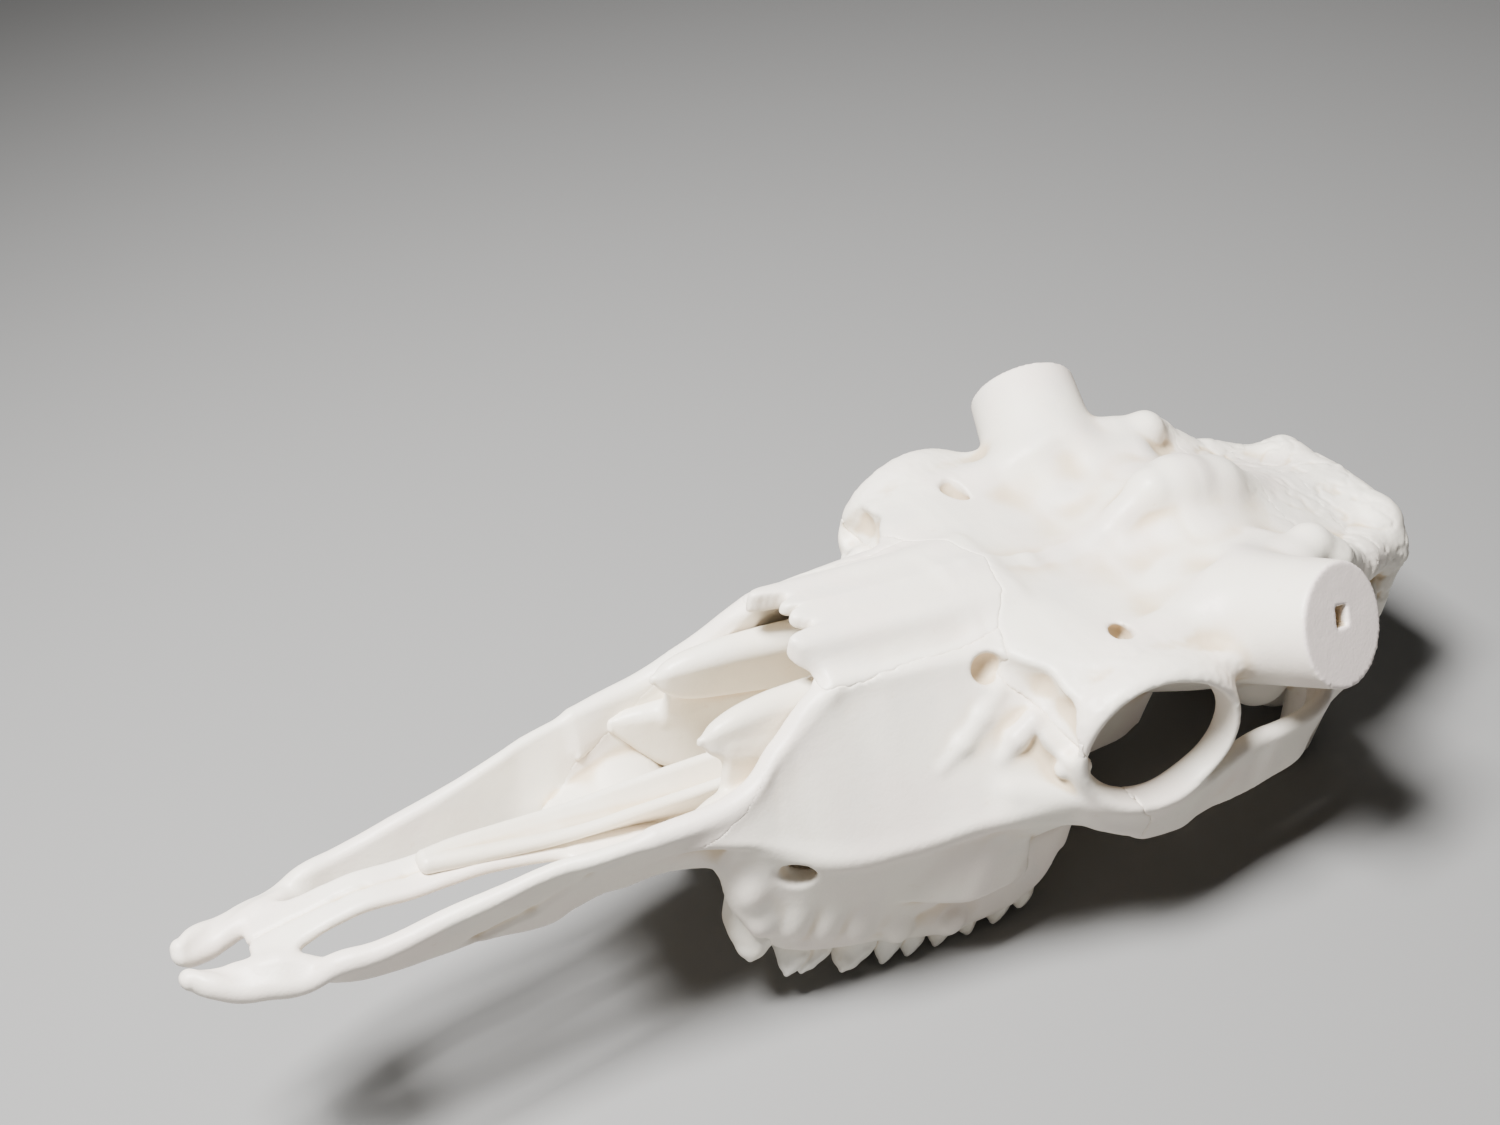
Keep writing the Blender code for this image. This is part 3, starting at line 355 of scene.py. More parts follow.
# maxilla: outer wall, cheek, tooth bed, palate; then its foramina, root bulges and hollows
face = {
    "wall": [
        (0.19, 0.038, 0.042, 0.044, 0.054, 0.003), (0.222, 0.052, 0.05, 0.047, 0.063, 0.004),
        (0.245, 0.058, 0.046, 0.041, 0.083, 0.004), (0.269, 0.067, 0.041, 0.036, 0.106, 0.004),
        (0.3, 0.075, 0.046, 0.04, 0.112, 0.004), (0.33, 0.082, 0.057, 0.043, 0.115, 0.005),
        (0.355, 0.09, 0.066, 0.046, 0.115, 0.006), (0.378, 0.093, 0.07, 0.054, 0.115, 0.006),
    ],
    "cheek": [
        (0.228, 0.05, 0.042, 0.042, 0.022, 0.004), (0.242, 0.056, 0.041, 0.048, -0.002, 0.0045),
        (0.269, 0.066, 0.037, 0.053, -0.01, 0.0055), (0.3, 0.073, 0.041, 0.058, -0.016, 0.005),
        (0.33, 0.08, 0.051, 0.062, -0.006, 0.005), (0.356, 0.088, 0.058, 0.067, 0.018, 0.005),
        (0.368, 0.091, 0.058, 0.067, 0.022, 0.005), (0.388, 0.094, 0.058, 0.058, 0.03, 0.005),
    ],
    "masseterBulge": [
        (0.29, 0.067, 0.03, 0.057, 0.014, 0.0034), (0.315, 0.0745, 0.04, 0.068, 0.006, 0.0042),
        (0.335, 0.08, 0.048, 0.076, 0.006, 0.0042), (0.35, 0.083, 0.052, 0.079, 0.008, 0.0042),
        (0.362, 0.082, 0.042, 0.079, 0.011, 0.0042), (0.374, 0.077, 0.016, 0.077, 0.013, 0.0038),
    ],
    "toothBed": [
        (0.242, 0.044, 0.008, 0.044, 0.0, 0.006), (0.252, 0.046, 0.01, 0.046, -0.01, 0.0085),
        (0.265, 0.048, 0.01, 0.048, -0.019, 0.0095), (0.291, 0.051, 0.012, 0.051, -0.023, 0.01),
        (0.314, 0.053, 0.012, 0.053, -0.024, 0.01), (0.341, 0.057, 0.014, 0.057, -0.026, 0.01),
        (0.37, 0.06, 0.018, 0.06, -0.021, 0.01), (0.393, 0.063, 0.022, 0.063, -0.007, 0.0095),
        (0.403, 0.064, 0.03, 0.064, 0.014, 0.008),
    ],
    "palate": [
        (0.17, 0.002, 0.0225, 0.018, 0.0225, 0.0035), (0.19, 0.0, 0.021, 0.028, 0.024, 0.0045),
        (0.212, 0.0, 0.017, 0.033, 0.03, 0.0045), (0.24, 0.0, 0.013, 0.038, 0.014, 0.005),
        (0.3, 0.0, 0.01, 0.042, 0.0, 0.006), (0.36, 0.0, 0.014, 0.048, 0.008, 0.006),
        (0.394, 0.01, 0.02, 0.052, 0.018, 0.006),
    ],
    "palateBack": ((0.366, 0.0, 0.02), (0.03, 0.04, 0.011)),
    "infraorbital": [
        (0.236, 0.069, 0.0285, 0.0058), (0.254, 0.0635, 0.0303, 0.0072), (0.264, 0.056, 0.0325, 0.0066),
        (0.292, 0.046, 0.036, 0.0044),
    ],
    "frontBump": ((0.24, 0.0515, 0.017), (0.007, 0.0065, 0.01)),
    "rootBulges": [
        ((0.249, 0.052, -0.004), (0.007, 0.0058, 0.01)),
        ((0.263, 0.057, -0.002), (0.0064, 0.0055, 0.013)),
        ((0.279, 0.0592, -0.006), (0.0062, 0.0055, 0.013)),
        ((0.297, 0.0612, -0.011), (0.007, 0.0052, 0.012)),
        ((0.321, 0.0635, -0.022), (0.0076, 0.0048, 0.009)),
        ((0.349, 0.0675, -0.022), (0.008, 0.0048, 0.009)),
    ],
    "tearPit": ((0.344, 0.05, 0.115), (0.0076, 0.0062, 0.0076)),
    "tearBand": [
        (0.347, 0.06, 0.117, 0.008), (0.354, 0.072, 0.115, 0.01), (0.358, 0.084, 0.11, 0.0094),
        (0.361, 0.0925, 0.1, 0.0066),
    ],
    "tearRidges": [
        [(0.318, 0.066, 0.077, 0.0026), (0.328, 0.064, 0.0865, 0.005), (0.339, 0.06, 0.097, 0.0056),
         (0.348, 0.0565, 0.1055, 0.004)],
        [(0.344, 0.0745, 0.083, 0.0034), (0.35, 0.074, 0.092, 0.005), (0.357, 0.0735, 0.1, 0.0044)],
        [(0.364, 0.0925, 0.085, 0.003), (0.374, 0.095, 0.088, 0.0032)],
    ],
    "tearValleys": [
        [(0.332, 0.078, 0.086, 0.002), (0.345, 0.073, 0.098, 0.004), (0.354, 0.069, 0.108, 0.004)],
    ],
    "backing": (0.004, 0.003, 0.002),
    "bedFillet": 0.005,
    "voxel": 0.00126,
}


# a thin wall behind the hollows, so that none of them breaks through
def backing(clay):
    inward, lower, half = face["backing"]
    rows = [(x, a - inward, b - lower, c - inward, d - lower, half) for x, a, b, c, d, _ in face["wall"]]
    return clay.rail(rows)


def faceForms(clay):
    roots = [clay.blob(*root) for root in face["rootBulges"]]
    bed = clay.join([clay.rail(face["toothBed"]), *roots], face["bedFillet"])
    return [clay.rail(face["wall"]), clay.rail(face["cheek"]), bed, clay.blob(*face["frontBump"])]


# nasal bones: an inner and an outer plate a side, and the comb of their front edge by side and x
nasals = {
    "inner": [
        (0.25, 0.0, 0.1255, 0.02, 0.1205, 0.0032), (0.3, 0.0, 0.1285, 0.021, 0.1245, 0.0038),
        (0.34, 0.0, 0.1315, 0.022, 0.1275, 0.0045), (0.374, 0.0, 0.133, 0.023, 0.129, 0.0055),
    ],
    "outer": [
        (0.25, 0.018, 0.1215, 0.033, 0.108, 0.003), (0.3, 0.019, 0.125, 0.035, 0.113, 0.0036),
        (0.34, 0.02, 0.128, 0.039, 0.115, 0.0045), (0.374, 0.021, 0.1295, 0.041, 0.1165, 0.0055),
    ],
    "frontEdge": [
        (0.0, 0.2715), (0.0042, 0.2655), (0.0085, 0.2695), (0.0112, 0.2725), (0.0148, 0.265),
        (0.0184, 0.2572), (0.0215, 0.2585), (0.027, 0.265), (0.033, 0.271), (0.04, 0.276),
    ],
    "plateFillet": 0.012,
    "edgeSlope": 0.5,
    "edgeFillet": 0.004,
    "voxel": 0.0008,
}


def nasalForms(clay):
    plates = clay.join([clay.rail(nasals["inner"]), clay.rail(nasals["outer"])], nasals["plateFillet"])
    if plates is None:
        return None
    edge = nasals["frontEdge"]
    front = clay.profile(clay.maths("MINIMUM", clay.side, edge[-1][0]), edge) - clay.x
    return clay.maths("SMOOTH_MAX", plates, front * nasals["edgeSlope"], nasals["edgeFillet"])


# brain case, frontal roof, pedicles, eye rings and cheekbones
crown = {
    "core": [
        (0.328, 0.072, 0.02, 0.03), (0.345, 0.072, 0.06, 0.044), (0.375, 0.072, 0.046, 0.046),
        (0.398, 0.076, 0.026, 0.042), (0.42, 0.09, 0.017, 0.038), (0.45, 0.102, 0.024, 0.048),
        (0.49, 0.106, 0.046, 0.056), (0.52, 0.104, 0.054, 0.054), (0.56, 0.103, 0.057, 0.05),
        (0.59, 0.103, 0.05, 0.044), (0.602, 0.106, 0.04, 0.036),
    ],
    "corePower": 2.4,
    "roof": [
        (0.35, 0.0, 0.131, 0.036, 0.117, 0.006), (0.366, 0.0, 0.132, 0.06, 0.119, 0.0062),
        (0.38, 0.0, 0.13, 0.078, 0.125, 0.0062), (0.4, 0.0, 0.127, 0.094, 0.13, 0.006),
        (0.42, 0.0, 0.126, 0.098, 0.131, 0.006), (0.44, 0.0, 0.13, 0.096, 0.131, 0.007),
        (0.455, 0.0, 0.138, 0.09, 0.13, 0.008), (0.47, 0.0, 0.149, 0.084, 0.135, 0.009),
        (0.491, 0.0, 0.158, 0.074, 0.14, 0.009), (0.529, 0.0, 0.152, 0.06, 0.138, 0.009),
        (0.56, 0.0, 0.151, 0.05, 0.137, 0.009), (0.6, 0.0, 0.153, 0.038, 0.15, 0.009),
    ],
    "ridge": [
        (0.362, 0.0, 0.1345, 0.004), (0.4, 0.0, 0.1315, 0.0042), (0.42, 0.0, 0.1305, 0.0044),
        (0.44, 0.0, 0.138, 0.005), (0.455, 0.0, 0.1515, 0.0072), (0.468, 0.0, 0.164, 0.0105),
        (0.487, 0.0, 0.1645, 0.016),
    ],
    "hump": [(0.482, 0.0, 0.1645, 0.016), (0.508, 0.0, 0.16, 0.0165), (0.562, 0.0, 0.14, 0.013)],
    "humpSide": ((0.53, 0.045, 0.144), (0.026, 0.019, 0.0105)),
    "scoop": [
        (0.405, 0.046, 0.151, 0.013), (0.43, 0.046, 0.158, 0.018), (0.452, 0.041, 0.168, 0.019),
        (0.474, 0.035, 0.179, 0.017), (0.496, 0.03, 0.185, 0.011),
    ],
    "browEdge": [
        (0.398, 0.078, 0.129, 0.006), (0.425, 0.074, 0.132, 0.01), (0.448, 0.072, 0.138, 0.015),
        (0.47, 0.064, 0.146, 0.016), (0.5, 0.05, 0.152, 0.012),
    ],
    "frontSwelling": ((0.372, 0.05, 0.119), (0.024, 0.026, 0.01)),
    "supraorbital": [(0.401, 0.069, 0.138, 0.0058), (0.4075, 0.059, 0.1262, 0.005)],
    "cheekbone": [
        (0.345, 0.084, 0.062, 0.084, 0.07, 0.005), (0.37, 0.093, 0.062, 0.095, 0.07, 0.0055),
        (0.39, 0.1, 0.056, 0.103, 0.068, 0.0055), (0.405, 0.102, 0.051, 0.105, 0.067, 0.0055),
        (0.422, 0.102, 0.0455, 0.106, 0.068, 0.0055), (0.436, 0.102, 0.0455, 0.106, 0.07, 0.0052),
        (0.45, 0.101, 0.05, 0.106, 0.078, 0.0048), (0.467, 0.104, 0.058, 0.106, 0.088, 0.0045),
        (0.482, 0.106, 0.066, 0.107, 0.092, 0.0045), (0.495, 0.106, 0.071, 0.106, 0.094, 0.0045),
        (0.51, 0.1, 0.078, 0.102, 0.096, 0.005), (0.525, 0.091, 0.083, 0.093, 0.099, 0.0055),
        (0.545, 0.08, 0.09, 0.08, 0.1, 0.007),
    ],
    "wing": [
        (0.394, 0.044, 0.052, 0.038, 0.02, 0.005), (0.42, 0.03, 0.06, 0.026, 0.018, 0.004),
        (0.45, 0.021, 0.062, 0.019, 0.02, 0.0035), (0.48, 0.016, 0.06, 0.014, 0.02, 0.003),
        (0.498, 0.013, 0.045, 0.011, 0.026, 0.0026),
    ],
    "eyeRing": ((0.4045, 0.1005, 0.102), (-0.16, 0.986, 0.04), 0.034, 0.0042, 0.008, 1.17),
    "archRoot": ((0.55, 0.055, 0.098), (0.54, 0.078, 0.096), 0.015, 0.01),
    "tearBone": ((0.374, 0.08, 0.104), (0.018, 0.016, 0.02)),
    "eyeBowl": ((0.405, 0.118, 0.102), (0.0375, 0.062, 0.0315)),
    "eyeHole": ((0.407, 0.084, 0.095), (0.44, 0.044, 0.066), 0.029, 0.026),
    "temporalHole": ((0.486, 0.082, 0.08), (0.488, 0.066, 0.1), 0.018, 0.022),
    "voxel": 0.00134,
}

pedicle = {
    "tip": (0.479, 0.12, 0.16), "root": (0.466, 0.06, 0.13), "way": (0.12, 0.857, 0.5),
    "endRadius": 0.0287, "rootRadius": 0.0315, "socket": (0.0078, 0.0098, 0.012), "socketRise": 0.004,
    "edge": 0.0016,
    "box": ((0.43, 0.07, 0.1), (0.52, 0.15, 0.2)),
}

nape = {
    "crest": [
        ((0.599, 0.0, 0.151), (0.599, 0.034, 0.149), 0.012),
        ((0.599, 0.034, 0.149), (0.601, 0.044, 0.138), 0.012, 0.01),
        ((0.602, 0.044, 0.138), (0.6, 0.046, 0.104), 0.01),
        ((0.566, 0.054, 0.142), (0.6, 0.044, 0.14), 0.012, 0.01),
    ],
    "face": ((0.588, 0.0, 0.108), (0.02, 0.052, 0.048)),
    "condyle": ((0.584, 0.023, 0.047), (0.021, 0.013, 0.019), (0, 35, 12)),
    "neckProcess": ((0.582, 0.046, 0.08), (0.573, 0.055, 0.03), 0.014, 0.009),
    "earProcess": ((0.578, 0.05, 0.112), (0.586, 0.058, 0.084), 0.015, 0.009),
    "earBulb": ((0.548, 0.038, 0.06), (0.018, 0.013, 0.013)),
    "brow": [
        (0.482, 0.074, 0.148, 0.015), (0.5, 0.066, 0.153, 0.014), (0.517, 0.061, 0.162, 0.01),
        (0.53, 0.066, 0.1555, 0.0095), (0.562, 0.056, 0.141, 0.009),
    ],
    "spinalHole": ((0.62, 0.0, 0.066), (0.575, 0.0, 0.07), 0.015),
    "voxel": 0.0011,
}


def pedicleForm(clay):
    return clay.rod(pedicle["root"], pedicle["tip"], pedicle["rootRadius"], pedicle["endRadius"])


# the flat face at the pedicle's end and the four-sided socket in it
def trimPedicle(clay, whole):
    way = Vector(pedicle["way"]).normalized()
    if not clay.reaches(*pedicle["box"]):
        return whole
    place = clay.vector("SUBTRACT", clay.point, pedicle["tip"])
    out = clay.dot(place, way)
    whole = clay.maths("SMOOTH_MAX", whole, out, pedicle["edge"])
    wide, tall, depth = pedicle["socket"]
    acrossWay = way.cross(Vector((0.0, 0.0, 1.0))).normalized()
    upWay = acrossWay.cross(way).normalized()
    across = clay.maths("ABSOLUTE", clay.dot(place, acrossWay)) - wide / 2
    up = clay.maths("ABSOLUTE", clay.dot(place, upWay) - pedicle["socketRise"]) - tall / 2
    hole = clay.inAll(across, up, -out - depth)
    return clay.inAll(whole, -hole)


# width of the fillet where each form is joined to, or cut out of, what was there before
fillets = {
    "faceParts": 0.011, "masseterBulge": 0.0028, "nasals": 0.012, "roof": 0.018, "browEdge": 0.01,
    "arches": 0.016, "crest": 0.01, "brow": 0.006, "rear": 0.01, "scoop": 0.008, "hump": 0.014,
    "ridge": 0.006, "ridgeChain": 0.01, "eyeRing": 0.013, "spinalHole": 0.004, "faceToSkull": 0.01,
    "eyeHollow": 0.006, "eyeRim": 0.004, "temporalHole": 0.006, "infraorbital": 0.003,
    "tearBand": 0.006, "tearValleys": 0.003, "tearRidges": 0.005, "backing": 0.001, "tearPit": 0.004,
    "supraorbital": 0.002,
}


# the whole cast in the order in which it is built up and cut
def castForm(clay):
    def joined(fillet, *forms):
        return clay.join(forms, fillets[fillet])

    def cut(fillet, form, tool):
        return clay.carve(form, tool, fillets[fillet])

    front = joined("faceParts", snoutForms(clay), *faceForms(clay))
    front = joined("masseterBulge", front, clay.rail(face["masseterBulge"]))
    front = joined("nasals", front, nasalForms(clay))
    core = clay.body(crown["core"], crown["corePower"])
    skull = joined("roof", core, clay.rail(crown["roof"]), clay.blob(*crown["frontSwelling"]))
    browEdge = clay.chain(crown["browEdge"], fillets["browEdge"])
    skull = joined("arches", skull, pedicleForm(clay), clay.rail(crown["cheekbone"]),
                   clay.rod(*crown["archRoot"]), clay.blob(*crown["tearBone"]), browEdge)
    crest = joined("crest", *[clay.rod(*rod) for rod in nape["crest"]], clay.blob(*nape["face"]))
    skull = joined("rear", skull, crest, clay.blob(*nape["condyle"]), clay.rod(*nape["neckProcess"]),
                   clay.rod(*nape["earProcess"]), clay.blob(*nape["earBulb"]),
                   clay.chain(nape["brow"], fillets["brow"]), clay.rail(crown["wing"]))
    skull = cut("scoop", skull, clay.chain(crown["scoop"], fillets["ridgeChain"]))
    hump = clay.chain(crown["hump"], fillets["ridgeChain"])
    skull = joined("hump", skull, hump, clay.blob(*crown["humpSide"]))
    skull = joined("ridge", skull, clay.chain(crown["ridge"], fillets["ridgeChain"]))
    skull = joined("eyeRing", skull, clay.hoop(*crown["eyeRing"]))
    skull = cut("spinalHole", skull, clay.rod(*nape["spinalHole"]))
    whole = joined("faceToSkull", front, skull)
    eye = joined("eyeHollow", clay.blob(*crown["eyeBowl"]), clay.rod(*crown["eyeHole"]))
    whole = cut("eyeRim", whole, eye)
    whole = cut("temporalHole", whole, clay.rod(*crown["temporalHole"]))
    whole = cut("infraorbital", whole, clay.chain(face["infraorbital"]))
    whole = cut("tearBand", whole, clay.chain(face["tearBand"]))
    for valley in face["tearValleys"]:
        whole = cut("tearValleys", whole, clay.chain(valley))
    whole = joined("tearRidges", whole, *[clay.chain(ridge) for ridge in face["tearRidges"]])
    whole = joined("backing", whole, backing(clay))
    whole = cut("tearPit", whole, clay.blob(*face["tearPit"]))
    whole = cut("supraorbital", whole, clay.chain(crown["supraorbital"]))
    return trimPedicle(clay, whole)


# where one bone meets the next, as a height or an x that is looked up along the suture
sutures = {
    "snout": [
        (-0.02, 0.176), (0.012, 0.174), (0.03, 0.183), (0.042, 0.2), (0.066, 0.228), (0.1, 0.246),
        (0.135, 0.25),
    ],
    "face": [
        (-0.07, 0.413), (0.054, 0.413), (0.064, 0.406), (0.084, 0.382), (0.096, 0.37), (0.1085, 0.362),
        (0.17, 0.362),
    ],
    "front": [
        (0.0, 0.372), (0.012, 0.37), (0.039, 0.356), (0.053, 0.351), (0.066, 0.35), (0.08, 0.353),
        (0.092, 0.359), (0.11, 0.362),
    ],
    "crown": [
        (0.36, 0.084), (0.376, 0.0901), (0.398, 0.096), (0.44, 0.098), (0.49, 0.12), (0.53, 0.128),
    ],
    "crownBack": 0.536,
    "nape": [(0.0, 0.556), (0.07, 0.56), (0.1, 0.569), (0.13, 0.566), (0.156, 0.572), (0.2, 0.57)],
    "arch": [(0.06, 0.508), (0.07, 0.512), (0.09, 0.518), (0.106, 0.514), (0.14, 0.52)],
    "frontStart": (0.103, 0.111),
    "nasalSide": 0.0397,
    "nasalHeight": 0.1105,
    "cheekSide": 0.089,
    "cheekTop": 0.105,
    "cheekFront": 0.398,
    "wave": (0.009, 0.0045),
    "jag": (0.014, 0.012),
    "faint": (0.0014, 0.0004),
    "clear": (0.0004, 0.0014),
}


# a piece keeps the part of the cast inside its sutures: faint ones are hairlines, clear ones are rounded
def keepRegion(clay, field, name):
    waveSize, waveWidth = sutures["wave"]
    jagSize, jagWidth = sutures["jag"]
    wave = (clay.noise(clay.point, waveSize, 1.0) - 0.5) * waveWidth
    jagged = (clay.noise(clay.point, jagSize, 2.0, 0.6, 6.2) - 0.5) * jagWidth

    def lineAt(place, line):
        return clay.profile(clay.clamp(place, sutures[line][0][0], sutures[line][-1][0]), sutures[line])

    behindSnout = clay.x - lineAt(clay.z, "snout") + wave
    behindFace = clay.x - lineAt(clay.z, "face") + wave
    front = lineAt(clay.side, "front") - sutures["front"][-1][1]
    behindFace = behindFace - front * clay.fade(clay.z, *sutures["frontStart"])
    overCrown = clay.z - lineAt(clay.x, "crown") + wave
    overCrown = clay.maths("MINIMUM", overCrown, sutures["crownBack"] - clay.x + wave)
    behindNape = clay.x - lineAt(clay.z, "nape") + jagged
    behindArch = clay.x - lineAt(clay.side, "arch")
    besideNasal = clay.inAll(clay.side - sutures["nasalSide"], sutures["nasalHeight"] - clay.z) + wave
    inCheekbone = clay.inAll(sutures["cheekSide"] - clay.side, clay.z - sutures["cheekTop"],
                             sutures["cheekFront"] - clay.x, behindArch)
    fields = {
        "snoutBars": lambda: (behindSnout, None),
        "face": lambda: (-behindSnout, clay.inAll(behindFace, -clay.inAll(besideNasal, behindFace))),
        "nasalBones": lambda: (None, clay.inAll(besideNasal, behindFace)),
        "frontalBone": lambda: (-overCrown, -behindFace),
        "cheekbone": lambda: (clay.inAll(inCheekbone, overCrown), -behindFace),
        "braincase": lambda: (clay.inAll(overCrown, -inCheekbone, behindNape), -behindFace),
        "occiput": lambda: (clay.inAll(-behindNape, overCrown), None),
    }
    for limit, (overlap, edge) in zip(fields[name](), (sutures["faint"], sutures["clear"])):
        if limit is not None:
            field = clay.maths("SMOOTH_MAX", field, limit - overlap, edge)
    return field


# fine roughness everywhere, more of it at the eye rims, the brow and the nape, with wrinkles at the nape
texture = {
    "fineGrain": 0.0034, "coarseGrain": 0.011, "wrinkleGrain": 0.015,
    "wrinkleStretch": (0.8, 0.8, 1.0), "wrinkleWidth": 0.06, "wrinkleDepth": 0.0007, "allFine": 0.00016,
    "allCoarse": 0.0002, "napeFine": 0.0003, "napeCoarse": 0.0009, "napeFront": (0.505, 0.56),
    "napeTop": (0.08, 0.125), "rimFine": 0.001, "rimCentre": (0.348, 0.0995, 0.103),
    "rimSquash": (0.86, 1.0, 1.0), "rimRadius": 0.041, "rimWidth": 0.012, "rimTop": (0.095, 0.12),
    "browCoarse": 0.0004, "browMiddle": 0.4, "browWidth": 0.07, "browTop": (0.11, 0.13),
    "blurSteps": 56,
}


def roughness(clay):
    fine = clay.noise(clay.place, texture["fineGrain"], 2.0) - 0.5
    coarse = clay.noise(clay.place, texture["coarseGrain"], 2.0, seed=3.1) - 0.5
    drawn = clay.vector("MULTIPLY", clay.place, texture["wrinkleStretch"])
    wrinkle = clay.noise(drawn, texture["wrinkleGrain"], 2.0, seed=5.3) - 0.5
    wrinkle = clay.bell(wrinkle, texture["wrinkleWidth"])
    atNape = clay.fade(clay.x, *texture["napeFront"]) * clay.fade(clay.z, *texture["napeTop"])
    squashed = clay.vector("MULTIPLY", clay.point, texture["rimSquash"])
    offRim = clay.vector("DISTANCE", squashed, texture["rimCentre"], out=1) - texture["rimRadius"]
    atRim = clay.bell(offRim, texture["rimWidth"]) * clay.fade(clay.z, *texture["rimTop"])
    atBrow = clay.bell(clay.x - texture["browMiddle"], texture["browWidth"])
    atBrow = atBrow * clay.fade(clay.z, *texture["browTop"])
    total = fine * (atRim * texture["rimFine"] + atNape * texture["napeFine"] + texture["allFine"])
    coarseDepth = atNape * texture["napeCoarse"] + atBrow * texture["browCoarse"] + texture["allCoarse"]
    return total + coarse * coarseDepth - wrinkle * atNape * texture["wrinkleDepth"]


pieces = []
boxMargin = 0.002
toMillimetres = 1000.0


# the low and high corner of each piece's box; a pair has those of its right one
boxes = {
    "snoutBars": ((-0.004, -0.062, -0.016), (0.256, 0.062, 0.112)),
    "face": ((0.166, 0.0, -0.052), (0.42, 0.116, 0.136)),
    "nasalBones": ((0.25, -0.046, 0.104), (0.384, 0.046, 0.146)),
    "frontalBone": ((0.344, -0.145, 0.078), (0.545, 0.145, 0.196)),
    "cheekbone": ((0.392, 0.086, 0.028), (0.53, 0.118, 0.112)),
    "braincase": ((0.366, -0.112, 0.008), (0.586, 0.112, 0.176)),
    "occiput": ((0.546, -0.074, 0.014), (0.622, 0.074, 0.174)),
    "vomerTrough": ((0.1, -0.014, 0.008), (0.35, 0.014, 0.064)),
    "turbinate": ((0.2, 0.008, 0.018), (0.35, 0.044, 0.11)),
    "teeth": ((0.228, 0.03, -0.056), (0.412, 0.084, 0.03)),
}


# the node tree of a piece; a pair uses one tree, on the right and on the left
def makeTree(name, form, material, paired):
    clay = Clay(name, *boxes[name])
    field = form(clay) - roughness(clay)
    if form is castForm:
        field = keepRegion(clay, field, name)
    if paired:
        field = clay.inAll(field, -clay.y * clay.hand)
    density = clay.clamp(0.5 - field * (0.5 / clay.voxel))
    size = clay.vector("SUBTRACT", clay.highCorner, clay.lowCorner)
    step = clay.node("ShaderNodeCombineXYZ", None, [clay.voxel] * 3)
    span = clay.vector("CEIL", clay.vector("DIVIDE", size, step))
    counts = clay.tree.nodes.new("ShaderNodeSeparateXYZ")
    clay.tree.links.new(span.socket, counts.inputs[0])
    counts = [Link(clay, socket) for socket in counts.outputs]
    cube = clay.node("GeometryNodeVolumeCube", None, {
        "Density": density, "Min": clay.lowCorner, "Max": clay.highCorner,
        "Resolution X": counts[0], "Resolution Y": counts[1], "Resolution Z": counts[2]})
    skin = clay.node("GeometryNodeVolumeToMesh", None, {"Volume": cube, "Threshold": 0.5})
    # how far each point lies below its neighbourhood, in millimetres, which the resin uses to paint shade
    # into hollows and holes
    normal = clay.node("GeometryNodeInputNormal")
    steps = texture["blurSteps"] // 1
    spread = clay.node("GeometryNodeBlurAttribute", {"data_type": "FLOAT_VECTOR"},
                       {0: clay.place, "Iterations": steps})
    depth = clay.dot(clay.vector("SUBTRACT", spread, clay.place), normal)
    skin = clay.node("GeometryNodeStoreNamedAttribute", {"data_type": "FLOAT", "domain": "POINT"},
                     {"Geometry": skin, "Name": "hollow", "Value": depth * toMillimetres})
    skin = clay.node("GeometryNodeSetShadeSmooth", None, {0: skin, "Shade Smooth": True})
    skin = clay.node("GeometryNodeRealizeInstances", None, {0: skin})
    skin = clay.node("GeometryNodeSetMaterial", None, {"Geometry": skin, "Material": material})
    output = clay.tree.nodes.new("NodeGroupOutput")
    clay.tree.links.new(skin.socket, output.inputs[0])
    return clay.tree


# a tree's surface as a plain mesh in the rest pose; hand is -1 for a left piece
def makePiece(name, tree, low, high, material, voxel, hand=1.0):
    sockets = {item.name: item.identifier for item in tree.interface.items_tree if item.in_out == "INPUT"}
    piece = bpy.data.objects.new(name, bpy.data.meshes.new(name))
    bpy.context.scene.collection.objects.link(piece)
    maker = piece.modifiers.new("form", "NODES")
    maker.node_group = tree
    maker[sockets["Voxel"]] = voxel * 1.0
    maker[sockets["Hand"]] = hand
    maker[sockets["Low"]] = (low[0], low[1] - boxMargin, low[2])
    maker[sockets["High"]] = (high[0], high[1] + boxMargin, high[2])
    graph = bpy.context.evaluated_depsgraph_get()
    mesh = bpy.data.meshes.new_from_object(piece.evaluated_get(graph), depsgraph=graph)
    piece.modifiers.clear()
    piece.data = mesh
    mesh.transform(restPose)
    mesh.name = name
    if not mesh.materials:
        mesh.materials.append(material)
    pieces.append(piece)
    print(name, "made,", len(mesh.polygons), "faces", flush=True)
    return piece


# every piece rides the one body and stands in for its nodes
def keepPiece(piece, slot, *nodes):
    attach(piece, "root")
    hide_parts(*nodes)


# a piece across the middle
def makeMiddle(name, form, material, voxel, slot, *nodes):
    tree = makeTree(name, form, material, False)
    keepPiece(makePiece(name, tree, *boxes[name], material, voxel), slot, *nodes)


# a left and a right piece of one tree
def makePair(name, form, material, voxel, slot, node):
    tree = makeTree(name, form, material, True)
    low, high = boxes[name]
    leftLow, leftHigh = (low[0], -high[1], low[2]), (high[0], -low[1], high[2])
    left = makePiece(name + "Left", tree, leftLow, leftHigh, material, voxel, -1.0)
    right = makePiece(name + "Right", tree, low, high, material, voxel)
    keepPiece(left, slot, node + "_left")
    keepPiece(right, slot, node + "_right")


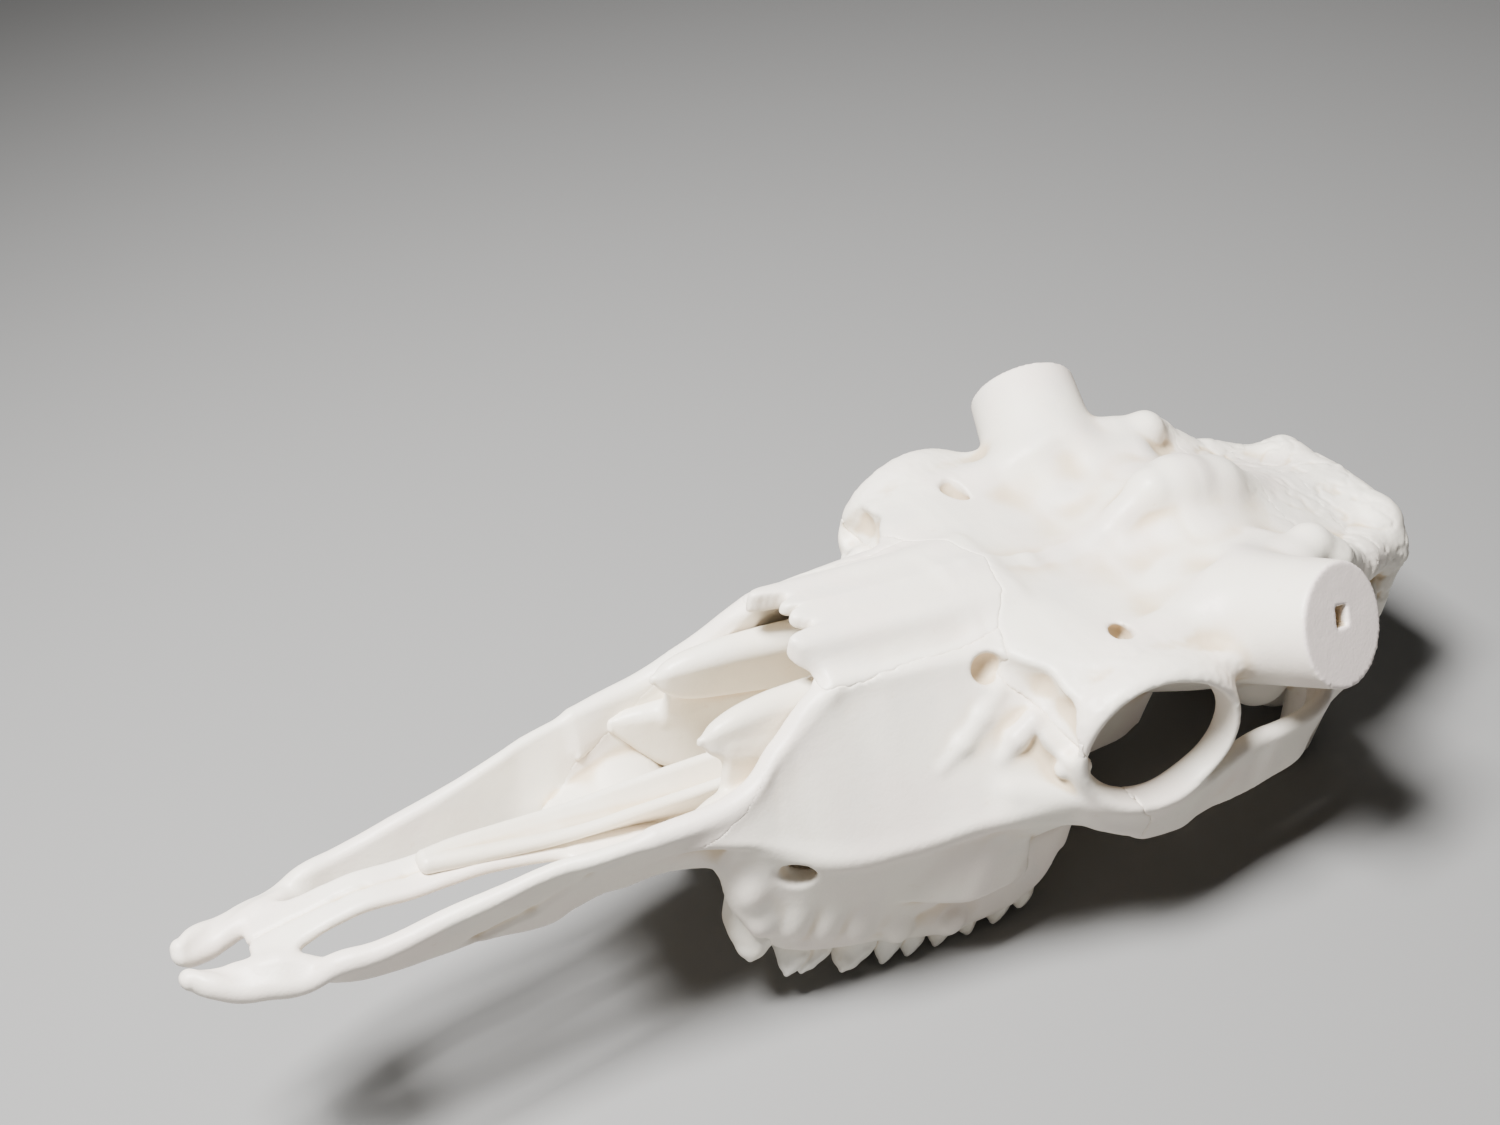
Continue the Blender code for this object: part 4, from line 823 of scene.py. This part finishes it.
resin = {
    "cream": (0.91, 0.85, 0.735),
    "shade": (0.87, 0.785, 0.64),
    "pink": (0.88, 0.775, 0.69),
    "grey": (0.815, 0.77, 0.695),
    # tan of the real specks, and also of the painted shade in hollows
    "speckAndShadeTan": (0.66, 0.51, 0.32),
    # dark of the painted shade deep in holes
    "holeShade": (0.44, 0.365, 0.255),
    "sawn": (0.9, 0.79, 0.735),
    "tooth": (0.865, 0.835, 0.75),
    # size of each kind of mark, where it starts and is full, and its share of the colour
    "clouds": (0.055, 0.38, 0.66, 0.75),
    "smoke": (0.03, 0.5, 0.72, 0.45),
    "specks": (0.0045, 0.66, 0.8, 0.18),
    # painted shade: depth in millimetres where the tan painted shade of hollows and the dark painted shade of
    # deep holes starts and is full, and its share
    "hollows": (0.05, 1.2, 0.8),
    "holeShadeDepth": (1.3, 3.2, 0.8),
    "sawnEdge": (-0.0012, -0.0002),
    "grainSize": 0.0016,
    "grainStrength": 0.16,
    "grainHeight": 0.0006,
    "grainShine": 0.1,
    "hollowShine": 0.12,
}


def makeResin(name, base, second, roughness, sawn=False):
    material = bpy.data.materials.new(name)
    material.use_nodes = True
    graph = Graph(material.node_tree)
    shader = material.node_tree.nodes["Principled BSDF"]
    place = graph.node("ShaderNodeTexCoord", out=3)

    def mixed(factor, low, high):
        values = {0: factor, 6: low if isinstance(low, Link) else (*low, 1.0), 7: (*high, 1.0)}
        return graph.node("ShaderNodeMix", {"data_type": "RGBA"}, values, 2)

    def marks(name, detail, rough, seed):
        size, low, high, share = resin[name]
        return graph.fade(graph.noise(place, size, detail, rough, seed), low, high) * share

    grain = graph.noise(place, resin["grainSize"], 2.0, 0.6)
    hollow = graph.node("ShaderNodeAttribute", {"attribute_name": "hollow"}, None, 2)
    deepLow, deepHigh, deepShare = resin["hollows"]
    holeLow, holeHigh, holeShare = resin["holeShadeDepth"]
    deep = graph.fade(hollow, deepLow, deepHigh)
    colour = mixed(marks("clouds", 3.0, 0.55, 0.0), base, second)
    colour = mixed(marks("smoke", 3.0, 0.6, 2.3), colour, resin["grey"])
    colour = mixed(marks("specks", 2.0, 0.5, 4.1), colour, resin["speckAndShadeTan"])
    # painted shade: hollows are tinted tan and deep holes darkened, standing in for the shade that falls in
    # them
    colour = mixed(deep * deepShare, colour, resin["speckAndShadeTan"])
    colour = mixed(graph.fade(hollow, holeLow, holeHigh) * holeShare, colour, resin["holeShade"])
    if sawn:
        middle = restPose @ Vector(pedicle["tip"])
        way = restPose.to_3x3() @ Vector(pedicle["way"]).normalized()
        folded = graph.vector("SUBTRACT", graph.vector("ABSOLUTE", place), middle)
        inside = graph.dot(folded, way)
        colour = mixed(graph.fade(inside, *resin["sawnEdge"]) * (1.0 - deep), colour, resin["sawn"])
    bump = graph.node("ShaderNodeBump", None, {
        "Strength": resin["grainStrength"], "Distance": resin["grainHeight"], "Height": grain})
    material.node_tree.links.new(colour.socket, shader.inputs["Base Color"])
    shine = grain * resin["grainShine"] + deep * resin["hollowShine"] + (roughness - resin["grainShine"] / 2)
    material.node_tree.links.new(shine.socket, shader.inputs["Roughness"])
    material.node_tree.links.new(bump.socket, shader.inputs["Normal"])
    return material


creamResin = makeResin("creamResin", resin["cream"], resin["pink"], 0.44)
innerResin = makeResin("innerResin", resin["cream"], resin["shade"], 0.4)
crownResin = makeResin("crownResin", resin["cream"], resin["pink"], 0.44, sawn=True)
toothResin = makeResin("toothResin", resin["tooth"], resin["shade"], 0.34)

makeMiddle("snoutBars", castForm, creamResin, snout["voxel"], "cast_cream",
           "premaxilla_left", "premaxilla_right")
makePair("face", castForm, creamResin, face["voxel"], "cast_cream", "maxilla")
makeMiddle("nasalBones", castForm, creamResin, nasals["voxel"], "cast_cream", "nasal_left", "nasal_right")
makeMiddle("frontalBone", castForm, crownResin, crown["voxel"], "cast_cream",
           "frontal", "pedicle_left", "pedicle_right")
makePair("cheekbone", castForm, creamResin, face["voxel"], "cast_cream", "zygomatic")
makeMiddle("braincase", castForm, creamResin, crown["voxel"], "cast_inner", "cranium")
makeMiddle("occiput", castForm, creamResin, nape["voxel"], "cast_cream", "occipital")


# vomer trough and the rolled plates inside the nose
noseInside = {
    "vomerRim": [
        (0.106, 0.0006, 0.0265, 0.002, 0.0268, 0.0042), (0.12, 0.001, 0.0262, 0.0042, 0.028, 0.004),
        (0.14, 0.0016, 0.0262, 0.0062, 0.0292, 0.0034), (0.167, 0.002, 0.0262, 0.0078, 0.031, 0.0031),
        (0.205, 0.0024, 0.0275, 0.0086, 0.037, 0.003), (0.24, 0.0024, 0.029, 0.009, 0.0425, 0.003),
        (0.345, 0.0024, 0.033, 0.009, 0.058, 0.003),
    ],
    "vomerKeel": [
        (0.112, 0.0, 0.019, 0.0, 0.0255, 0.003), (0.345, 0.0, 0.015, 0.0, 0.032, 0.004),
    ],
    "scrollTop": [
        (0.2175, 0.024, 0.0825, 0.024, 0.0835, 0.0018), (0.226, 0.0245, 0.079, 0.0235, 0.0875, 0.0052),
        (0.24, 0.025, 0.076, 0.0225, 0.091, 0.007), (0.262, 0.026, 0.075, 0.0215, 0.094, 0.008),
        (0.3, 0.026, 0.075, 0.021, 0.096, 0.009), (0.345, 0.026, 0.075, 0.021, 0.096, 0.009),
    ],
    "scrollFoot": [
        (0.208, 0.0385, 0.048, 0.039, 0.05, 0.0028), (0.215, 0.0378, 0.0435, 0.0375, 0.052, 0.0046),
        (0.224, 0.036, 0.037, 0.0352, 0.054, 0.0056), (0.238, 0.0325, 0.03, 0.0335, 0.056, 0.0068),
        (0.25, 0.0305, 0.028, 0.033, 0.058, 0.0076), (0.29, 0.028, 0.026, 0.032, 0.062, 0.0085),
        (0.345, 0.028, 0.026, 0.032, 0.064, 0.0085),
    ],
    "scrollWall": [
        (0.231, 0.031, 0.054, 0.027, 0.08, 0.003), (0.345, 0.029, 0.054, 0.027, 0.08, 0.004),
    ],
    "vomerFillet": 0.003,
    "scrollFillet": 0.005,
    "voxel": 0.0008,
}


def vomerForm(clay):
    parts = [clay.rail(noseInside[key]) for key in ("vomerRim", "vomerKeel")]
    return clay.join(parts, noseInside["vomerFillet"])


def scrollForm(clay):
    parts = [clay.rail(noseInside[key]) for key in ("scrollTop", "scrollFoot", "scrollWall")]
    return clay.join(parts, noseInside["scrollFillet"])


makeMiddle("vomerTrough", vomerForm, innerResin, noseInside["voxel"], "cast_inner", "vomer")
makePair("turbinate", scrollForm, innerResin, noseInside["voxel"], "cast_inner", "turbinate")


# cheek teeth, six a side with ten cusps: tip x and z, middle x, half width and height, then side and gum line
teeth = {
    "cusps": [
        (0.2485, -0.033, 0.253, 0.013, 0.014), (0.269, -0.0465, 0.2745, 0.0095, 0.012),
        (0.2765, -0.046, 0.2845, 0.0098, 0.0115), (0.2985, -0.05, 0.307, 0.012, 0.0125),
        (0.3205, -0.05, 0.324, 0.0076, 0.0115), (0.3335, -0.0476, 0.3365, 0.0068, 0.0095),
        (0.348, -0.0437, 0.351, 0.0074, 0.0105), (0.364, -0.0386, 0.363, 0.0066, 0.0085),
        (0.3775, -0.0337, 0.38, 0.0072, 0.0095), (0.391, -0.0266, 0.3925, 0.0064, 0.0075),
    ],
    "side": [
        (0.238, 0.049), (0.27, 0.054), (0.295, 0.0575), (0.327, 0.0605), (0.352, 0.0645), (0.373, 0.068),
        (0.402, 0.07),
    ],
    "gum": [
        (0.238, -0.006), (0.25, -0.014), (0.265, -0.025), (0.291, -0.029), (0.314, -0.03), (0.341, -0.032),
        (0.37, -0.026), (0.393, -0.011), (0.402, 0.0),
    ],
    "rootRise": 0.01, "centreShare": 0.8, "neckShare": 0.98, "waistShare": 0.6, "heelShare": 0.9,
    "heelFootShare": 0.88, "innerShare": 0.8, "seamShare": 0.22, "tipRadius": 0.0016,
    "innerRadius": 0.0014, "seamRadius": 0.0012, "cuspFillet": 0.002, "lobeFillet": 0.003,
    "seamFillet": 0.0026, "rowFillet": 0.0014, "voxel": 0.0007,
    # how far each point lies inside the row's side, and the inner cusp and the seam from the outer tip
    "tipIn": 0.0015, "waistAt": 0.55, "heelIn": 0.008, "heelFootIn": 0.007,
    "innerTip": (0.002, 0.016, 0.005), "seamTop": (-0.0006, 0.002), "seamTip": (0.0004, 0.0034),
}


# a value of the row at x, on straight lines between its points
def rowAt(points, x):
    for (x0, v0), (x1, v1) in zip(points, points[1:]):
        if x <= x1:
            return v0 + (v1 - v0) * max(0.0, (x - x0) / (x1 - x0))
    return points[-1][1]


# each lobe has a body, a hooked outer cusp with a seam down it, and a heel with a lower inner cusp
def toothForm(clay):
    lobes = []
    for tipX, tipZ, middle, half, tall in teeth["cusps"]:
        side = rowAt(teeth["side"], tipX)
        neck = tipZ + tall
        top = max(rowAt(teeth["gum"], middle), neck) + teeth["rootRise"]
        centre = side - half * teeth["centreShare"]
        foot = (middle, centre, neck)
        tip = (tipX, side - teeth["tipIn"], tipZ + teeth["tipRadius"])
        waist = [(1.0 - teeth["waistAt"]) * a + teeth["waistAt"] * b for a, b in zip(foot, tip)]
        neckRadius, waistRadius = half * teeth["neckShare"], half * teeth["waistShare"]
        body = clay.rod((middle, centre, top), foot, half, neckRadius)
        outer = [(*foot, neckRadius), (*waist, waistRadius), (*tip, teeth["tipRadius"])]
        outer = clay.chain(outer, teeth["cuspFillet"])
        heelTop = (middle, centre - teeth["heelIn"], top)
        heelFoot = (middle, centre - teeth["heelFootIn"], neck)
        heel = clay.rod(heelTop, heelFoot, half * teeth["heelShare"], half * teeth["heelFootShare"])
        back, inward, rise = teeth["innerTip"]
        innerTip = (tipX + back, side - inward, tipZ + rise)
        inner = clay.rod(heelFoot, innerTip, half * teeth["innerShare"], teeth["innerRadius"])
        seamTop = (middle, side - teeth["seamTop"][0], neck + teeth["seamTop"][1])
        seamTip = (tipX, side - teeth["seamTip"][0], tipZ + teeth["seamTip"][1])
        seam = clay.rod(seamTop, seamTip, half * teeth["seamShare"], teeth["seamRadius"])
        lobe = clay.join([body, outer, heel, inner], teeth["lobeFillet"])
        lobes.append(clay.join([lobe, seam], teeth["seamFillet"]))
    return clay.join(lobes, teeth["rowFillet"])


makePair("teeth", toothForm, toothResin, teeth["voxel"], "cast_cream", "maxilla")
print(len(pieces), "pieces,", sum(len(piece.data.polygons) for piece in pieces), "faces")


# pale floor, soft light and the camera at the photograph's angle
stage = {
    "floor": (0.24, 0.237, 0.232),
    "floorRoughness": 0.9,
    "floorSize": 12.0,
    "floorHeight": -0.0005,
    "air": (1.0, 0.985, 0.96),
    "airStrength": 0.022,
    "lit": (0.0, 0.0, 0.1),
    # place, size and power of each light
    "lights": {
        "keyLight": ((-0.45, -0.04, 1.42), 0.4, 88.0),
        "fillLight": ((-1.3, -1.0, 0.7), 1.2, 1.8),
        "rimLight": ((0.9, 0.9, 0.9), 0.8, 1.6),
    },
}
bpy.ops.mesh.primitive_plane_add(size=stage["floorSize"], location=(0.0, 0.0, stage["floorHeight"]))
floor = bpy.context.object
floor.name = "floor"
floorPaint = bpy.data.materials.new("floorPaint")
floorPaint.use_nodes = True
floorShader = floorPaint.node_tree.nodes["Principled BSDF"]
floorShader.inputs["Base Color"].default_value = (*stage["floor"], 1.0)
floorShader.inputs["Roughness"].default_value = stage["floorRoughness"]
floor.data.materials.append(floorPaint)
floor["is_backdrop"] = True

world = bpy.data.worlds.new("studio")
bpy.context.scene.world = world
world.use_nodes = True
world.node_tree.nodes["Background"].inputs["Color"].default_value = (*stage["air"], 1.0)
world.node_tree.nodes["Background"].inputs["Strength"].default_value = stage["airStrength"]

for name, (place, size, power) in stage["lights"].items():
    lamp = bpy.data.lights.new(name, "AREA")
    lamp.energy = power
    lamp.size = size
    holder = bpy.data.objects.new(name, lamp)
    holder.location = place
    holder.rotation_euler = (Vector(stage["lit"]) - Vector(place)).to_track_quat("-Z", "Y").to_euler()
    bpy.context.scene.collection.objects.link(holder)

# the camera in the skull's frame, as it was solved from the photograph
view = {
    "place": (-0.092, -0.499, 0.501),
    "right": (0.867, -0.474, 0.154),
    "down": (-0.125, -0.506, -0.853),
    "focus": 1621.7,
    "frameWidth": 1500.0,
    "sensor": 36.0,
}
lens = bpy.data.cameras.new("camera")
lens.sensor_width = view["sensor"]
lens.lens = view["focus"] * view["sensor"] / view["frameWidth"]
camera = bpy.data.objects.new("camera", lens)
bpy.context.scene.collection.objects.link(camera)
right = Vector(view["right"]).normalized()
up = -Vector(view["down"])
back = right.cross(up).normalized()
up = back.cross(right)
turn = Matrix((right, up, back)).transposed().to_4x4()
camera.matrix_world = restPose @ Matrix.Translation(view["place"]) @ turn
bpy.context.scene.camera = camera
print("stage, lights and camera set")

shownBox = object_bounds()
for label, box in (("cad box", cadBox), ("shown box", shownBox)):
    print(label, [[round(value, 4) for value in corner] for corner in box])
